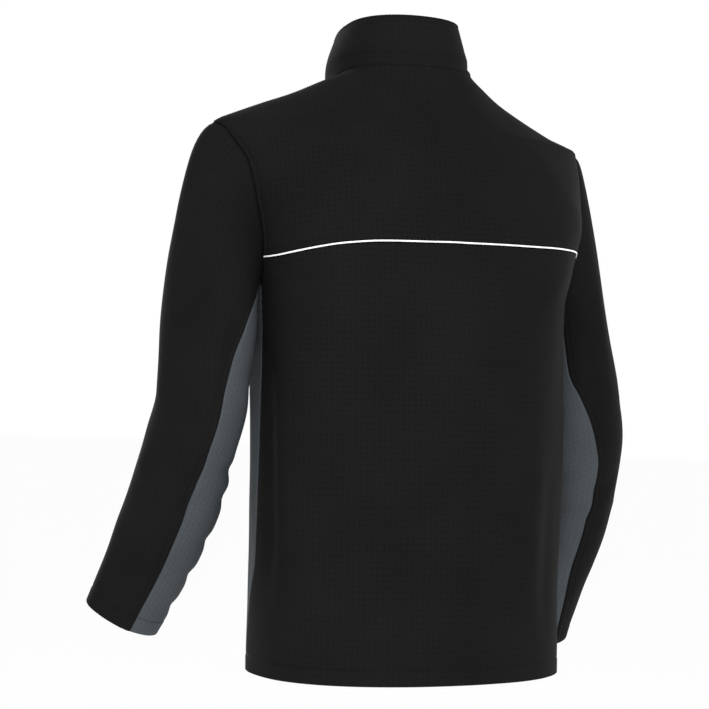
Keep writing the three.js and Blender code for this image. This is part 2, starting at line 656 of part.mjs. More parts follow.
const group = new THREE.Group();
const COLOURS = { black: 0x1f1f20, grey: 0x474b4f, piping: 0xf2f2f2, tape: 0x1a1a1b, metal: 0x55585c };
group.position.set(-NECK.x, -NECK.y, -NECK.z);
function addPiece(name, geometry, colour, roughness = 0.85, metalness = 0, holder = group) {
  const material = new THREE.MeshStandardMaterial({ color: colour, roughness, metalness });
  const piece = new THREE.Mesh(geometry, material);
  piece.name = name;
  holder.add(piece);
  return piece;
}

addPiece("back_panel", backPanel(), COLOURS.black);
addPiece("back_yoke", backYoke(), COLOURS.black);
addPiece("yoke_piping", piping(), COLOURS.piping, 0.4);
for (const arm of ["left", "right"]) {
  const side = arm === "left" ? 1 : -1;
  addPiece("side_panel_" + arm, sidePanel(side), COLOURS.grey);
  addPiece("front_" + arm, frontPanel(side), COLOURS.black);
  addPiece("sleeve_upper_" + arm, sleevePanel(arm, "upper"), COLOURS.black);
  addPiece("sleeve_under_" + arm, sleevePanel(arm, "under"), COLOURS.grey);
}
addPiece("collar", collar(), COLOURS.black);

// The zip: two tapes sewn under the fronts' edges, and the closed chain of teeth between them.
const chainTop = SLIDER.level + SLIDER.long / 2 - SLIDER.postLong - SEAM;
for (const arm of ["left", "right"]) {
  const [low, high] = arm === "left" ? [ZIP.tapeInner, ZIP.tapeOuter] : [-ZIP.tapeOuter, -ZIP.tapeInner];
  addPiece("zip_tape_" + arm, zipStrip(low, high, ZIP.tapeIn, ZIP.tapeOut, ZIP.top), COLOURS.tape);
}
addPiece("zip_chain", zipStrip(-CHAIN.half, CHAIN.half, CHAIN.in, CHAIN.out, chainTop), COLOURS.tape, 0.5);

// The slider stands square to the zip at its level. The pull tab hangs straight down from its lug.
const stand = zipFrame(SLIDER.level);
const sliderGroup = new THREE.Group();
sliderGroup.position.copy(stand.middle);
const sliderTurn = new THREE.Matrix4().makeBasis(stand.across, stand.out.clone().negate(), stand.up);
sliderGroup.setRotationFromMatrix(sliderTurn);
group.add(sliderGroup);
addPiece("zip_slider", sliderShape(), COLOURS.metal, 0.4, 1, sliderGroup);
const pull = addPiece("zip_pull", pullShape(), COLOURS.metal, 0.4, 1);
pull.position.copy(stand.middle).addScaledVector(stand.out, PIVOT_RISE);

export default group;
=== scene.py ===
# %% [markdown]
# A softshell jacket, worn and seen from behind.
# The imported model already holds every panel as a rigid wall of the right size. This lesson dresses
# it: each panel is made again as a thin shell on the same rule, with its folds, rolled seams, turned
# hems and stitching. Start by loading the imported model, which fixes every size and place.

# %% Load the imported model
import math

import bmesh
import bpy
import numpy as np
from mathutils import Matrix, Vector


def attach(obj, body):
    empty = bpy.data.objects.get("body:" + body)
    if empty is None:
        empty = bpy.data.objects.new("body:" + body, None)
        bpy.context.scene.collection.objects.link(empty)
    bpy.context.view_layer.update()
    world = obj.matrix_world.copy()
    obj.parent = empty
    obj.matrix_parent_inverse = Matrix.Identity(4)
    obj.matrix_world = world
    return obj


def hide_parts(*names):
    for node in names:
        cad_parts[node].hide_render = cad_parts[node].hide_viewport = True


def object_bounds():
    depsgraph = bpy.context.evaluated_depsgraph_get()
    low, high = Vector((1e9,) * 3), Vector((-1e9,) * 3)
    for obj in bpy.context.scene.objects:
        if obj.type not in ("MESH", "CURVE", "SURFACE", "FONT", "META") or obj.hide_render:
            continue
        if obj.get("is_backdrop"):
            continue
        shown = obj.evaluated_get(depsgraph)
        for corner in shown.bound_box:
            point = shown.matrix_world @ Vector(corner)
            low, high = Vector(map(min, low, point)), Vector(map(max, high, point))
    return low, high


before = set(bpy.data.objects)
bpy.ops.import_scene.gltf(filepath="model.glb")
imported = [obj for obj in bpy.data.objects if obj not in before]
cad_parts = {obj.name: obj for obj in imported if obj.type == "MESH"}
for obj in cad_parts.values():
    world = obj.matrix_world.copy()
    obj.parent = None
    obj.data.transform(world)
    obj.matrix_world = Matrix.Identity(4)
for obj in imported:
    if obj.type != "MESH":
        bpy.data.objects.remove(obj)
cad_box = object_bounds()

MM = 0.001
NECK = np.array([0.0, -48.0, 712.0])  # the frame's origin, measured from the hem's centre in mm

# %% [markdown]
# The camera. The photo looks at the back from the wearer's left, nearly level, with a long lens.
# It was matched to the hem, the cuffs, the shoulders and the collar. The whole lesson
# measures in millimetres from the hem's centre, and only the last step of each piece moves it
# to the frame's origin at the neck.

# %% Camera
PHOTO = 709  # pixels along each side
FOCAL = 2088  # pixels
SENSOR = 36  # mm
TURN = math.radians(25)  # from straight behind
PITCH = math.atan(53.5 / FOCAL)  # the lens looks slightly up
ROLL = math.radians(2.1)
EYE = {"away": 2500.0, "aside": -70.2, "level": 310.0}

toward = Vector((math.sin(TURN), math.cos(TURN), 0))
right = Vector((-math.cos(TURN), math.sin(TURN), 0))
ahead = -toward * math.cos(PITCH) + Vector((0, 0, math.sin(PITCH)))
upright = right.cross(ahead)
rolled_right = right * math.cos(ROLL) + upright * math.sin(ROLL)
rolled_up = upright * math.cos(ROLL) - right * math.sin(ROLL)
eye = toward * EYE["away"] + right * EYE["aside"] + Vector((0, 0, EYE["level"])) - Vector(NECK)

camera_data = bpy.data.cameras.new("photo_camera")
camera_data.sensor_width = SENSOR
camera_data.sensor_fit = "HORIZONTAL"
camera_data.lens = FOCAL / PHOTO * SENSOR
camera_data.clip_end = 200
camera = bpy.data.objects.new("photo_camera", camera_data)
bpy.context.scene.collection.objects.link(camera)
camera.matrix_world = Matrix.Translation(eye * MM) @ Matrix(
    (rolled_right, rolled_up, -ahead)
).transposed().to_4x4()
bpy.context.scene.camera = camera
print("camera at", [round(v, 3) for v in eye * MM], "lens", round(camera_data.lens, 1))

# %% [markdown]
# Sizes. These are the model's own driving sizes. A table has a row for each ring of the body or
# each section of a sleeve, and a smooth curve through each column fills in between the rows.

# %% Tables and smooth columns
def table(columns, *rows):
    """A table with named columns, one array for each."""
    return dict(zip(columns.split(), np.array(rows, float).T))


def smooth_column(x, y):
    """A curve through a table's column that never overshoots its rows."""
    slope = np.diff(y) / np.diff(x)
    product = slope[:-1] * slope[1:]
    total = np.where(product > 0, slope[:-1] + slope[1:], 1)
    inner = np.where(product > 0, 2 * product / total, 0)
    tangent = np.concatenate([slope[:1], inner, slope[-1:]])

    def curve(at):
        i = np.clip(np.searchsorted(x, at, side="right") - 1, 0, len(x) - 2)
        run = x[i + 1] - x[i]
        t = np.clip((at - x[i]) / run, 0, 1)
        return hermite(y[i], tangent[i] * run, y[i + 1], tangent[i + 1] * run, t)

    return curve


def hermite(start, leave, end, arrive, t):
    s = 1 - t
    return start * s * s * (1 + 2 * t) + leave * t * s * s + end * t * t * (3 - 2 * t) - arrive * t * t * s


def smooth_columns(rows, key):
    return {name: smooth_column(rows[key], rows[name]) for name in rows if name != key}


def lerp(start, end, t):
    return start + (end - start) * t


def ease(t):
    """A soft step from 0 to 1."""
    t = np.clip(t, 0, 1)
    return t * t * (3 - 2 * t)


RIM_LEVEL = 779
NECK_LEVEL = 716
DIP_POWER = 3.5
BODY = table(
    "level half back front side back_full front_full lean skew dip",
    (0, 188.5, 143, -143, 0, 2.3, 2.3, 0, 0, 0),
    (110, 188, 138, -145, -4, 2.3, 2.3, 0, 0, 0),
    (220, 190, 133, -147, -9, 2.35, 2.3, 0, 0, 0),
    (330, 191, 128, -150, -18, 2.4, 2.3, 0, 0, 0),
    (426, 199, 122, -152, -34, 2.45, 2.3, 1, 0, 0),
    (480, 210, 117, -152, -42, 2.5, 2.3, 2, -2, 0),
    (533, 224, 109, -150, -47, 2.5, 2.25, 4, -6.5, 0),
    (590, 236, 93, -143, -50, 2.15, 2.0, 5, -6, 8),
    (625, 245, 77, -136, -50, 1.85, 1.75, 6, -1, 20),
    (640, 244.5, 70, -132, -50, 1.7, 1.65, 6, -2, 28),
    (653, 216.5, 63, -129, -50, 1.65, 1.6, 7, 3, 36),
    (669, 179, 56, -127, -49, 1.65, 1.6, 7, 4, 45),
    (686, 139.5, 50, -126, -48, 1.7, 1.7, 8, 1.5, 54),
    (702, 109.5, 47, -126, -48, 1.85, 1.9, 8, 0.5, 61),
    (716, 83.5, 45, -129, -48, 2.1, 2.4, 8, -0.5, 66),
    (719, 83, 44, -130, -48, 2.1, 2.5, 8, 0, 66),
    (736, 82, 36.5, -138, -52, 2.15, 2.5, 9, 2.5, 66),
    (779, 69.5, 26, -147, -60, 2.2, 2.4, 10, -1, 66),
)
ARMHOLE = {"level": 533, "high": 107, "wide": 62, "panel_turn": 141}
TIP_LEVEL = ARMHOLE["level"] + ARMHOLE["high"]
SIDE_SEAMS = table(
    "level back front",
    (0, 105, 126), (35, 104.5, 125.4), (70, 102.8, 124.8), (95, 98.8, 124), (130, 94, 123),
    (220, 91.2, 121), (330, 89, 118.5), (400, 84, 114),
)
SEAM_BEND = 0.8
WAIST_RISE = 1.03
SIDES = {"left": 1, "right": -1}
YOKE = {"centre": 505, "left": 119.5, "right": 112.5}
YOKE_LEAN = {
    "left": table(
        "part lean",
        (0, 0), (0.1, 0.08), (0.2, 0.115), (0.3, 0.165), (0.45, 0.32), (0.6, 0.54), (0.75, 0.77),
        (0.87, 0.925), (0.95, 0.985), (1, 1),
    ),
    "right": table(
        "part lean",
        (0, 0), (0.15, -0.08), (0.3, -0.15), (0.5, -0.28), (0.7, -0.31), (0.87, -0.26), (0.94, 0.12),
        (1, 1),
    ),
}
ZIP_OPENING = 8.0
SLEEVES = {
    "left": table(
        "run level across back out deep",
        (1, 396, 251.5, -30, 52.5, 73),
        (2, 318, 254, -34, 52.5, 62),
        (3, 264, 263, -44, 53, 58),
        (4, 211, 268.5, -61, 56, 55),
        (5, 153, 281.5, -81, 54, 52),
        (6, 108, 294.5, -97, 50, 48),
        (7, 53, 314.5, -114, 45.5, 44),
    ),
    "right": table(
        "run level across back out deep",
        (1, 396, 245.5, -48, 45, 66),
        (2, 330, 254.5, -40, 52.5, 61),
        (3, 285, 257, -38, 54.5, 58),
        (4, 228, 257.5, -47, 52, 56),
        (5, 172, 260.5, -69, 49.5, 53),
        (6, 100, 259, -106, 48, 48),
        (7, 34, 259.5, -138, 46, 44),
    ),
}
LAST_RUN = 7
CAP = {
    "left": {"top": (0.45, 0.19), "middle": (0.12, 0.58), "under": (0.2, 0.82)},
    "right": {"top": (0.24, 0.0), "middle": (0.36, 0.7), "under": (0.25, 0.75)},
}
UNDER_SLEEVE = {
    "left": table(
        "run back front",
        (0, 141, 219), (0.5, 127, 224), (1, 110, 228), (1.5, 97, 232), (2, 91.5, 236), (3, 90.5, 238),
        (4, 83.5, 240), (7, 84, 240),
    ),
    "right": table(
        "run back front",
        (0, 141, 219), (1, 138.5, 228), (1.5, 135.5, 232), (2, 120.5, 236), (2.5, 109.5, 238),
        (3, 101, 240), (3.5, 93, 240), (4, 92, 240), (4.7, 97.5, 240), (5.2, 98, 240), (6, 90, 240),
        (7, 83, 240),
    ),
}
HEM_TILT = 0.0135  # how far the hem hangs lower on the left, for each mm across
HEM_TILT_REACH = 300
body = smooth_columns(BODY, "level")
side_seams = smooth_columns(SIDE_SEAMS, "level")
yoke_lean = {arm: smooth_column(rows["part"], rows["lean"]) for arm, rows in YOKE_LEAN.items()}
print("rings", len(BODY["level"]), "smooth columns", sorted(body))

# %% [markdown]
# The body's surface. A ring is a squared oval: its back and front halves have their own fullness,
# and it dips towards the front near the neck. Any panel is then a patch of angles and levels on
# this one surface, so neighbours meet along a seam exactly.

# %% The body's surface
def body_point(angle, level):
    """A point of the body, in mm from the hem's centre. 0 is centre back, 90 left and 180 front."""
    sin = np.sin(np.radians(angle))
    cos = np.cos(np.radians(angle))
    full = np.where(cos > 0, body["back_full"](level), body["front_full"](level))
    side = body["side"](level)
    reach = np.where(cos > 0, body["back"](level), body["front"](level)) - side
    across = np.sign(sin) * body["half"](level) * np.abs(sin) ** (2 / full)
    x = body["lean"](level) + body["skew"](level) * sin**2 + across
    y = side + reach * np.abs(cos) ** (2 / full)
    z = level - body["dip"](level) * ((1 - cos) / 2) ** DIP_POWER
    z = z - HEM_TILT * x * np.maximum(0, 1 - level / HEM_TILT_REACH) ** 2
    return np.stack([x, y, z], axis=-1)


def unit(vectors):
    return vectors / np.linalg.norm(vectors, axis=-1, keepdims=True)


def body_normal(angle, level):
    """The direction straight out of the body."""
    level = np.clip(level, 2, RIM_LEVEL - 2)
    along = body_point(angle + 1.5, level) - body_point(angle - 1.5, level)
    rise = body_point(angle, level + 2) - body_point(angle, level - 2)
    return unit(np.cross(rise, along))


def angle_at_depth(level, depth, half):
    reach = np.abs(body[half](level) - body["side"](level))
    angle = np.degrees(np.arccos(np.minimum(1, depth / reach) ** (body[half + "_full"](level) / 2)))
    return angle if half == "back" else 180 - angle


def angle_at_width(level, width):
    return 180 - np.degrees(np.arcsin((width / body["half"](level)) ** (body["front_full"](level) / 2)))


def loop_level(turn):
    """The armhole's level, by its turn from the shoulder tip: 90 is the back of the arm."""
    return ARMHOLE["level"] + ARMHOLE["high"] * np.cos(np.radians(turn))


def loop_angle(turn):
    depth = ARMHOLE["wide"] * np.abs(np.sin(np.radians(turn)))
    level = loop_level(turn)
    back, front = [angle_at_depth(level, depth, half) for half in ("back", "front")]
    return np.where(turn <= 180, back, front)


def side_seam(part, which):
    """A side seam's level and angle, as a part of its way from the hem to the armhole."""
    turn = ARMHOLE["panel_turn"] if which == "back" else 360 - ARMHOLE["panel_turn"]
    level = part * loop_level(turn)
    near = np.maximum(0, (part - SEAM_BEND) / (1 - SEAM_BEND)) ** 2
    return level, lerp(side_seams[which](level), loop_angle(np.array(turn)), near)


hem = body_point(np.arange(361.0), 0)
print("round the hem", round(np.sum(np.linalg.norm(np.diff(hem, axis=0), axis=1))), "mm")
print("across the shoulders", round(np.ptp(body_point(np.array([90.0, -90.0]), TIP_LEVEL)[:, 0])), "mm")

# %% [markdown]
# Folds. Worn cloth is never as even as its pattern. A fold here is a soft ridge or trough along a
# line, with its own width and depth, that fades at both ends. Each was placed one by one: broad
# upright ones down the back, slanting ones from the armholes, short ones inside the elbows.
# A low swell over everything keeps the surface between them alive.

# %% Folds and swell
BODY_SCALE = 3.1  # mm of cloth for each degree round the body
ARM_SCALE = 0.92


def folds_relief(u, v, folds):
    """How far hand-placed folds lift a point at u round the cloth and v along it, in mm."""
    lift = np.zeros(np.broadcast(u, v).shape)
    for u0, v0, u1, v1, wide, deep, bow in zip(*folds.values()):
        along = np.array([u1 - u0, v1 - v0])
        length = np.hypot(*along)
        along = along / length
        t = ((u - u0) * along[0] + (v - v0) * along[1]) / length
        off = (v - v0) * along[0] - (u - u0) * along[1] - bow * 4 * t * (1 - t)
        fade = ease(t / 0.35) * ease((1 - t) / 0.35)
        lift += deep * np.exp(-((off / wide) ** 2)) * fade
    return lift


def swell(points, high=0.55):
    """A low uneven swell, the same for all pieces at one place, so seams stay together."""
    x, y, z = np.moveaxis(points, -1, 0)
    waves = np.sin(x / 31 + z / 57 + 1.3) + np.sin(y / 27 - z / 41 + 0.4) + np.sin((x + y) / 19 + z / 83)
    fine = np.sin(x / 11 - z / 29) * np.sin(y / 13 + z / 23)
    return high * (waves / 2 + 0.35 * fine)


FOLD_COLUMNS = "u0 v0 u1 v1 wide deep bow"
BODY_FOLDS = table(
    FOLD_COLUMNS,
    # down the back, from the wearer's left to the right
    (255, 60, 262, 400, 15, -4.0, 6), (205, 40, 214, 430, 22, 3.2, -8), (150, 30, 168, 330, 20, -2.4, 10),
    (96, 40, 110, 455, 26, 2.2, -6), (52, 20, 44, 260, 18, -2.6, 5), (8, 60, 20, 380, 24, 1.6, -10),
    (-36, 10, -30, 250, 17, -2.4, 4), (-78, 40, -92, 420, 25, 2.6, 8), (-128, 10, -140, 300, 18, -2.2, -6),
    (-178, 60, -186, 420, 20, 2.8, 6), (-228, 40, -222, 360, 15, -3.4, -4),
    # under the yoke seam
    (120, 496, 20, 470, 17, -2.4, -6), (30, 508, -120, 440, 22, -3.0, 10),
    (-60, 440, -190, 505, 20, 2.0, 6), (170, 400, 90, 500, 20, 2.2, 8),
    # from the armholes
    (215, 520, 110, 600, 20, 2.0, 6), (230, 470, 150, 440, 14, -2.2, -5),
    (-215, 520, -120, 590, 22, 1.8, -6), (-225, 470, -170, 420, 13, -2.4, 5),
    # across the yoke and up to the neck
    (40, 560, -60, 600, 26, -2.0, 8), (-130, 560, -60, 690, 24, 1.8, 4), (120, 570, 60, 690, 24, 1.8, -4),
    # round the sides
    (330, 30, 322, 330, 14, -3.0, 5), (300, 120, 305, 400, 13, 2.4, -5),
    (-330, 30, -326, 330, 14, -2.8, -5), (-300, 110, -303, 400, 13, 2.4, 5),
    # down the fronts
    (400, 30, 415, 380, 20, 3.0, 8), (450, 60, 470, 420, 19, -3.0, -8), (505, 20, 510, 300, 16, 2.0, 4),
    (-405, 30, -418, 360, 21, 3.0, -8), (-455, 50, -474, 430, 19, -2.8, 8),
    (-508, 20, -512, 280, 15, 2.0, -4), (370, 470, 480, 560, 20, -2.6, 8),
    (-370, 470, -480, 550, 20, -2.6, -8), (350, 540, 450, 640, 22, 2.2, 6),
    (-350, 540, -450, 640, 22, 2.2, -6),
)
COLLAR_FOLDS = table(FOLD_COLUMNS, (-330, 725, 340, 731, 3.2, -3.2, 0), (-300, 735, 290, 741, 6, 1.4, 0))


ARMHOLE_REACH = 75  # mm, about the armhole's mean radius
CALM = 28  # mm beside an armhole, where the folds die out


def body_relief(angle, level):
    """The folds at a point of the body. They die out at the neck and the armholes."""
    depth = body_point(angle, level)[..., 1] - body["side"](level)
    ring = np.hypot(depth / ARMHOLE["wide"], (level - ARMHOLE["level"]) / ARMHOLE["high"])
    lift = folds_relief(angle * BODY_SCALE, level, BODY_FOLDS) * ease((ring - 1) * ARMHOLE_REACH / CALM)
    lift = lift * lerp(0.55, 1, ease(level / 40)) * ease((NECK_LEVEL - level) / 40)
    return lift + folds_relief(angle * BODY_SCALE, level, COLLAR_FOLDS)


print("folds on the body", len(BODY_FOLDS["u0"]))

# %% [markdown]
# A sleeve's surface. Below its cap a sleeve is an oval square to the arm. The cap is a family of
# curves that leave the armhole outward and down, and arrive in line with the arm. Its folds are
# placed by the turn round the arm and the distance down from the armhole.

# %% The sleeves' surface
def sleeve_shape(arm):
    side = SIDES[arm]
    at = smooth_columns(SLEEVES[arm], "run")

    def middle(run):
        return np.stack([side * at["across"](run), at["back"](run), at["level"](run)], axis=-1)

    def below(turn, run):
        along = unit(middle(np.minimum(run + 0.05, LAST_RUN)) - middle(np.maximum(run - 0.05, 1)))
        out = np.zeros_like(along) + np.array([side, 0, 0])
        out = unit(out - np.sum(out * along, axis=-1, keepdims=True) * along)
        back = np.zeros_like(along) + np.array([0, 1, 0])
        back = unit(back - along[..., 1:2] * along - out[..., 1:2] * out)
        wide = (at["out"](run) * np.cos(np.radians(turn)))[..., None]
        deep = (at["deep"](run) * np.sin(np.radians(turn)))[..., None]
        return middle(run) + out * wide + back * deep

    def cap(turn, run):
        start = body_point(side * loop_angle(turn), loop_level(turn))
        start = start + np.array([side * 0.3, 0, 0])
        first = np.ones_like(run)
        end = below(turn, first)
        length = np.linalg.norm(end - start, axis=-1)
        high = np.cos(np.radians(turn))
        parts = CAP[arm]
        leave = [
            lerp(parts["middle"][i], np.where(high > 0, parts["top"][i], parts["under"][i]), np.abs(high))
            for i in (0, 1)
        ]
        arrive = unit(below(turn, first + 0.05) - end) * length[..., None]
        speed = np.stack([side * leave[0] * length, 0 * length, -leave[1] * length], axis=-1)
        return hermite(start, speed, end, arrive, run[..., None])

    def point(turn, run):
        turn = np.mod(turn, 360) + 0 * run
        run = run + 0 * turn
        on_cap = (run < 1)[..., None]
        return np.where(on_cap, cap(turn, np.clip(run, 0, 1)), below(turn, np.maximum(run, 1)))

    def normal(turn, run):
        near = np.clip(run, 0.02, LAST_RUN - 0.03)
        along = point(turn + 1.5, near) - point(turn - 1.5, near)
        down = point(turn, near + 0.02) - point(turn, near - 0.02)
        return unit(np.cross(down, along)) * side

    runs = np.linspace(0, LAST_RUN, 400)
    line = point(np.full(400, 90.0), runs)
    steps = np.linalg.norm(np.diff(line, axis=0), axis=1)
    distance = np.concatenate([[0], np.cumsum(steps)])
    return {"point": point, "normal": normal, "runs": runs, "distance": distance, "side": side}


SLEEVE_FOLDS = {
    # turn round the arm in mm of cloth, then mm down from the armhole
    "left": table(
        FOLD_COLUMNS,
        (20, 30, 52, 260, 13, -2.6, 6), (50, 60, 86, 330, 15, 3.0, -5), (98, 90, 70, 300, 11, -2.8, 4),
        (-12, 40, 8, 300, 17, 2.4, 5), (-60, 60, -50, 330, 16, -2.4, -5), (-104, 70, -92, 260, 13, 2.4, 4),
        (30, 300, 92, 338, 11, -3.4, 4), (-20, 322, 60, 372, 12, 2.6, -4), (36, 372, 100, 352, 10, -2.6, 4),
        (10, 380, 30, 560, 15, -2.4, 6), (58, 400, 66, 580, 13, 2.4, -5), (-40, 360, -28, 570, 16, 2.2, 6),
        (-90, 330, -150, 300, 11, -4.0, 6), (-84, 372, -150, 350, 11, -4.4, -6),
        (-92, 352, -140, 326, 9, 3.0, 4), (96, 306, 196, 330, 10, -3.6, 5),
        (102, 352, 200, 372, 9, -3.8, -5), (98, 404, 202, 396, 10, -3.4, 5),
        (104, 452, 198, 440, 9, -3.6, 4), (100, 500, 200, 486, 9, -3.2, -4),
        (104, 546, 190, 540, 8, -2.8, 4), (120, 180, 180, 260, 11, -2.4, 4), (20, 566, 84, 584, 8, 1.8, 3),
    ),
    "right": table(
        FOLD_COLUMNS,
        (24, 40, 40, 260, 14, -2.4, 6), (64, 60, 84, 330, 15, 2.8, -5), (104, 110, 92, 290, 12, -2.6, 4),
        (-14, 40, 2, 300, 18, 2.4, -5), (-62, 60, -54, 330, 16, -2.4, 5), (-104, 80, -94, 260, 13, 2.4, 4),
        (44, 300, 110, 330, 12, -3.0, 4), (60, 372, 116, 356, 11, -2.8, -4),
        (-30, 330, 40, 356, 13, 2.0, 4), (26, 400, 36, 590, 15, -2.2, 6), (70, 420, 74, 600, 13, 2.4, -5),
        (-40, 380, -30, 590, 16, 2.2, 6), (-88, 330, -150, 306, 11, -4.0, 6),
        (-84, 376, -150, 352, 11, -4.4, -6), (-90, 354, -140, 330, 9, 3.0, 4),
        (110, 300, 196, 322, 10, -3.4, 5), (112, 352, 200, 366, 9, -3.6, -5),
        (108, 410, 200, 400, 10, -3.4, 5), (106, 470, 198, 456, 9, -3.2, 4),
        (102, 530, 196, 520, 9, -3.0, -4), (130, 190, 184, 262, 11, -2.4, 4),
    ),
}
ARM_GIRTH = 360 * ARM_SCALE
ARMS = {arm: sleeve_shape(arm) for arm in SIDES}


def sleeve_relief(arm, turn, distance):
    """The folds at a point of a sleeve, whichever way round the arm its turn was counted."""
    lift = np.zeros(np.broadcast(turn, distance).shape)
    for round_trip in (-ARM_GIRTH, 0, ARM_GIRTH):
        lift = lift + folds_relief(turn * ARM_SCALE + round_trip, distance, SLEEVE_FOLDS[arm])
    return lift * ease(distance / 30)


for arm, shape in ARMS.items():
    print("sleeve", arm, "is", round(shape["distance"][-1]), "mm along its back")

# %% [markdown]
# A panel's edges. A sewn seam is a narrow valley, because the cloth rolls over into it. Beside a
# topstitched seam the layers underneath make the cloth stand a little proud, and the thread pulls
# it down again along the stitch line. A turned hem is thicker and rounds over at its edge.
# Rows and columns are closer together near the edges, where this small form is.

# %% Edge forms
ROLL_DEEP = 1.0
ROLL_WIDE = 1.0
STITCH_PULL = 1.0
STITCH_WIDE = 0.8
ALLOWANCE_HIGH = 0.35
EDGE_STEPS = [0, 0.25, 0.6, 1.1, 1.8, 2.8, 4.0]
BESIDE_STITCH = [-1.6, -0.7, 0, 0.7, 1.6, 3.2]
FILL_STEP = 3.2
GRID_STEP = 5.2
# how long each panel is up and across, in mm, which sets how many rows and columns it gets
SPANS = {"back": (505, 440), "yoke": (235, 440), "side": (450, 90), "front": (690, 250), "collar": (61, 360)}
SLEEVE_SPANS = {"upper": 220, "under": 95}
PUCKER = 0.16  # mm, the small waves that a sewn seam draws the cloth into


def graded(length, first=None, last=None):
    """Places from 0 to 1 along a length in mm, closer near its ends and near their stitch lines."""

    def near(stitch):
        close = list(EDGE_STEPS)
        if stitch:
            close += [stitch + beside for beside in BESIDE_STITCH]
        fill = [d for d in np.arange(4.8, max(close), FILL_STEP) if min(abs(d - c) for c in close) > 1.2]
        return sorted(close + fill)

    low = near(first)
    high = near(last)
    count = max(2, round((length - low[-1] - high[-1]) / GRID_STEP))
    inner = np.linspace(low[-1], length - high[-1], count + 1)[1:-1]
    return np.concatenate([low, inner, [length - d for d in reversed(high)]]) / length


def edge_relief(distance, place, edge):
    """How far an edge's form lifts the cloth, at a distance from it and a place along it, in mm."""
    if edge["kind"] == "seam":
        lift = -edge.get("roll", ROLL_DEEP) * np.exp(-((distance / edge.get("roll_wide", ROLL_WIDE)) ** 2))
        reach = edge.get("stitch") or 7.0
        pucker = np.sin(place / 2.3 + 1.7 * np.sin(place / 17)) * np.sin(place / 31 + 0.6)
        lift += PUCKER * pucker * ease(distance / 2) * np.exp(-((distance / reach) ** 2))
    else:
        lift = np.zeros_like(distance)
    if edge.get("stitch"):
        away = distance - edge["stitch"]
        inside = ease(distance / 1.5) * ease(-away / 1.2 + 0.5)
        lift += ALLOWANCE_HIGH * inside - STITCH_PULL * np.exp(-((away / STITCH_WIDE) ** 2))
    return lift


def edge_wall(distance, thick, edge):
    """How much of the wall's thickness is left near an edge, and how far its face moves in."""
    if edge["kind"] == "seam":
        return np.ones_like(distance), np.zeros_like(distance)
    radius = 0.55 * thick
    share = np.sqrt(np.clip(1 - (1 - np.minimum(distance / radius, 1)) ** 2, 0.01, 1))
    return share, thick * (1 - share) / 2


# %% [markdown]
# One builder makes every panel from a grid of points. It finds how far each point lies from the
# four edges along the cloth, adds folds and edge forms straight out of the surface, and closes the
# wall on its inner side. It keeps the stitch lines too, so the thread lies exactly in its valley.
# The grid's own distances become the UV map, in metres of cloth, which the weave follows.

# %% The panel builder
stitch_lines = []
CLOTH = 1.7
HEM_EXTRA = 1.3
HEM = 19.0
THREAD_PROUD = 0.12
TUCK_WALL = 0.4
SEAM_EDGE = {"kind": "seam"}
PIPED_EDGE = {"kind": "seam", "roll": 1.8, "roll_wide": 1.8}


def arc(points, axis):
    """Distances along each row or column of a grid."""
    steps = np.linalg.norm(np.diff(points, axis=axis), axis=-1)
    shape = [(1, 0) if i == axis else (0, 0) for i in range(2)]
    return np.pad(np.cumsum(steps, axis=axis), shape)


def new_object(name, mesh, materials=()):
    for material in materials:
        mesh.materials.append(material)
    piece = bpy.data.objects.new(name, mesh)
    bpy.context.scene.collection.objects.link(piece)
    return piece


def mesh_of(shape, name):
    """A mesh from a bmesh, which is freed."""
    mesh = bpy.data.meshes.new(name)
    shape.to_mesh(mesh)
    shape.free()
    return mesh


def line_at(points, distance, wanted, axis):
    """The line across a grid at one distance from an edge."""
    if axis == 1:
        points, distance = points.swapaxes(0, 1), distance.T
    line = []
    for i in range(points.shape[1]):
        order = np.argsort(distance[:, i])
        line.append([np.interp(wanted, distance[order, i], points[order, i, k]) for k in range(3)])
    return np.array(line)


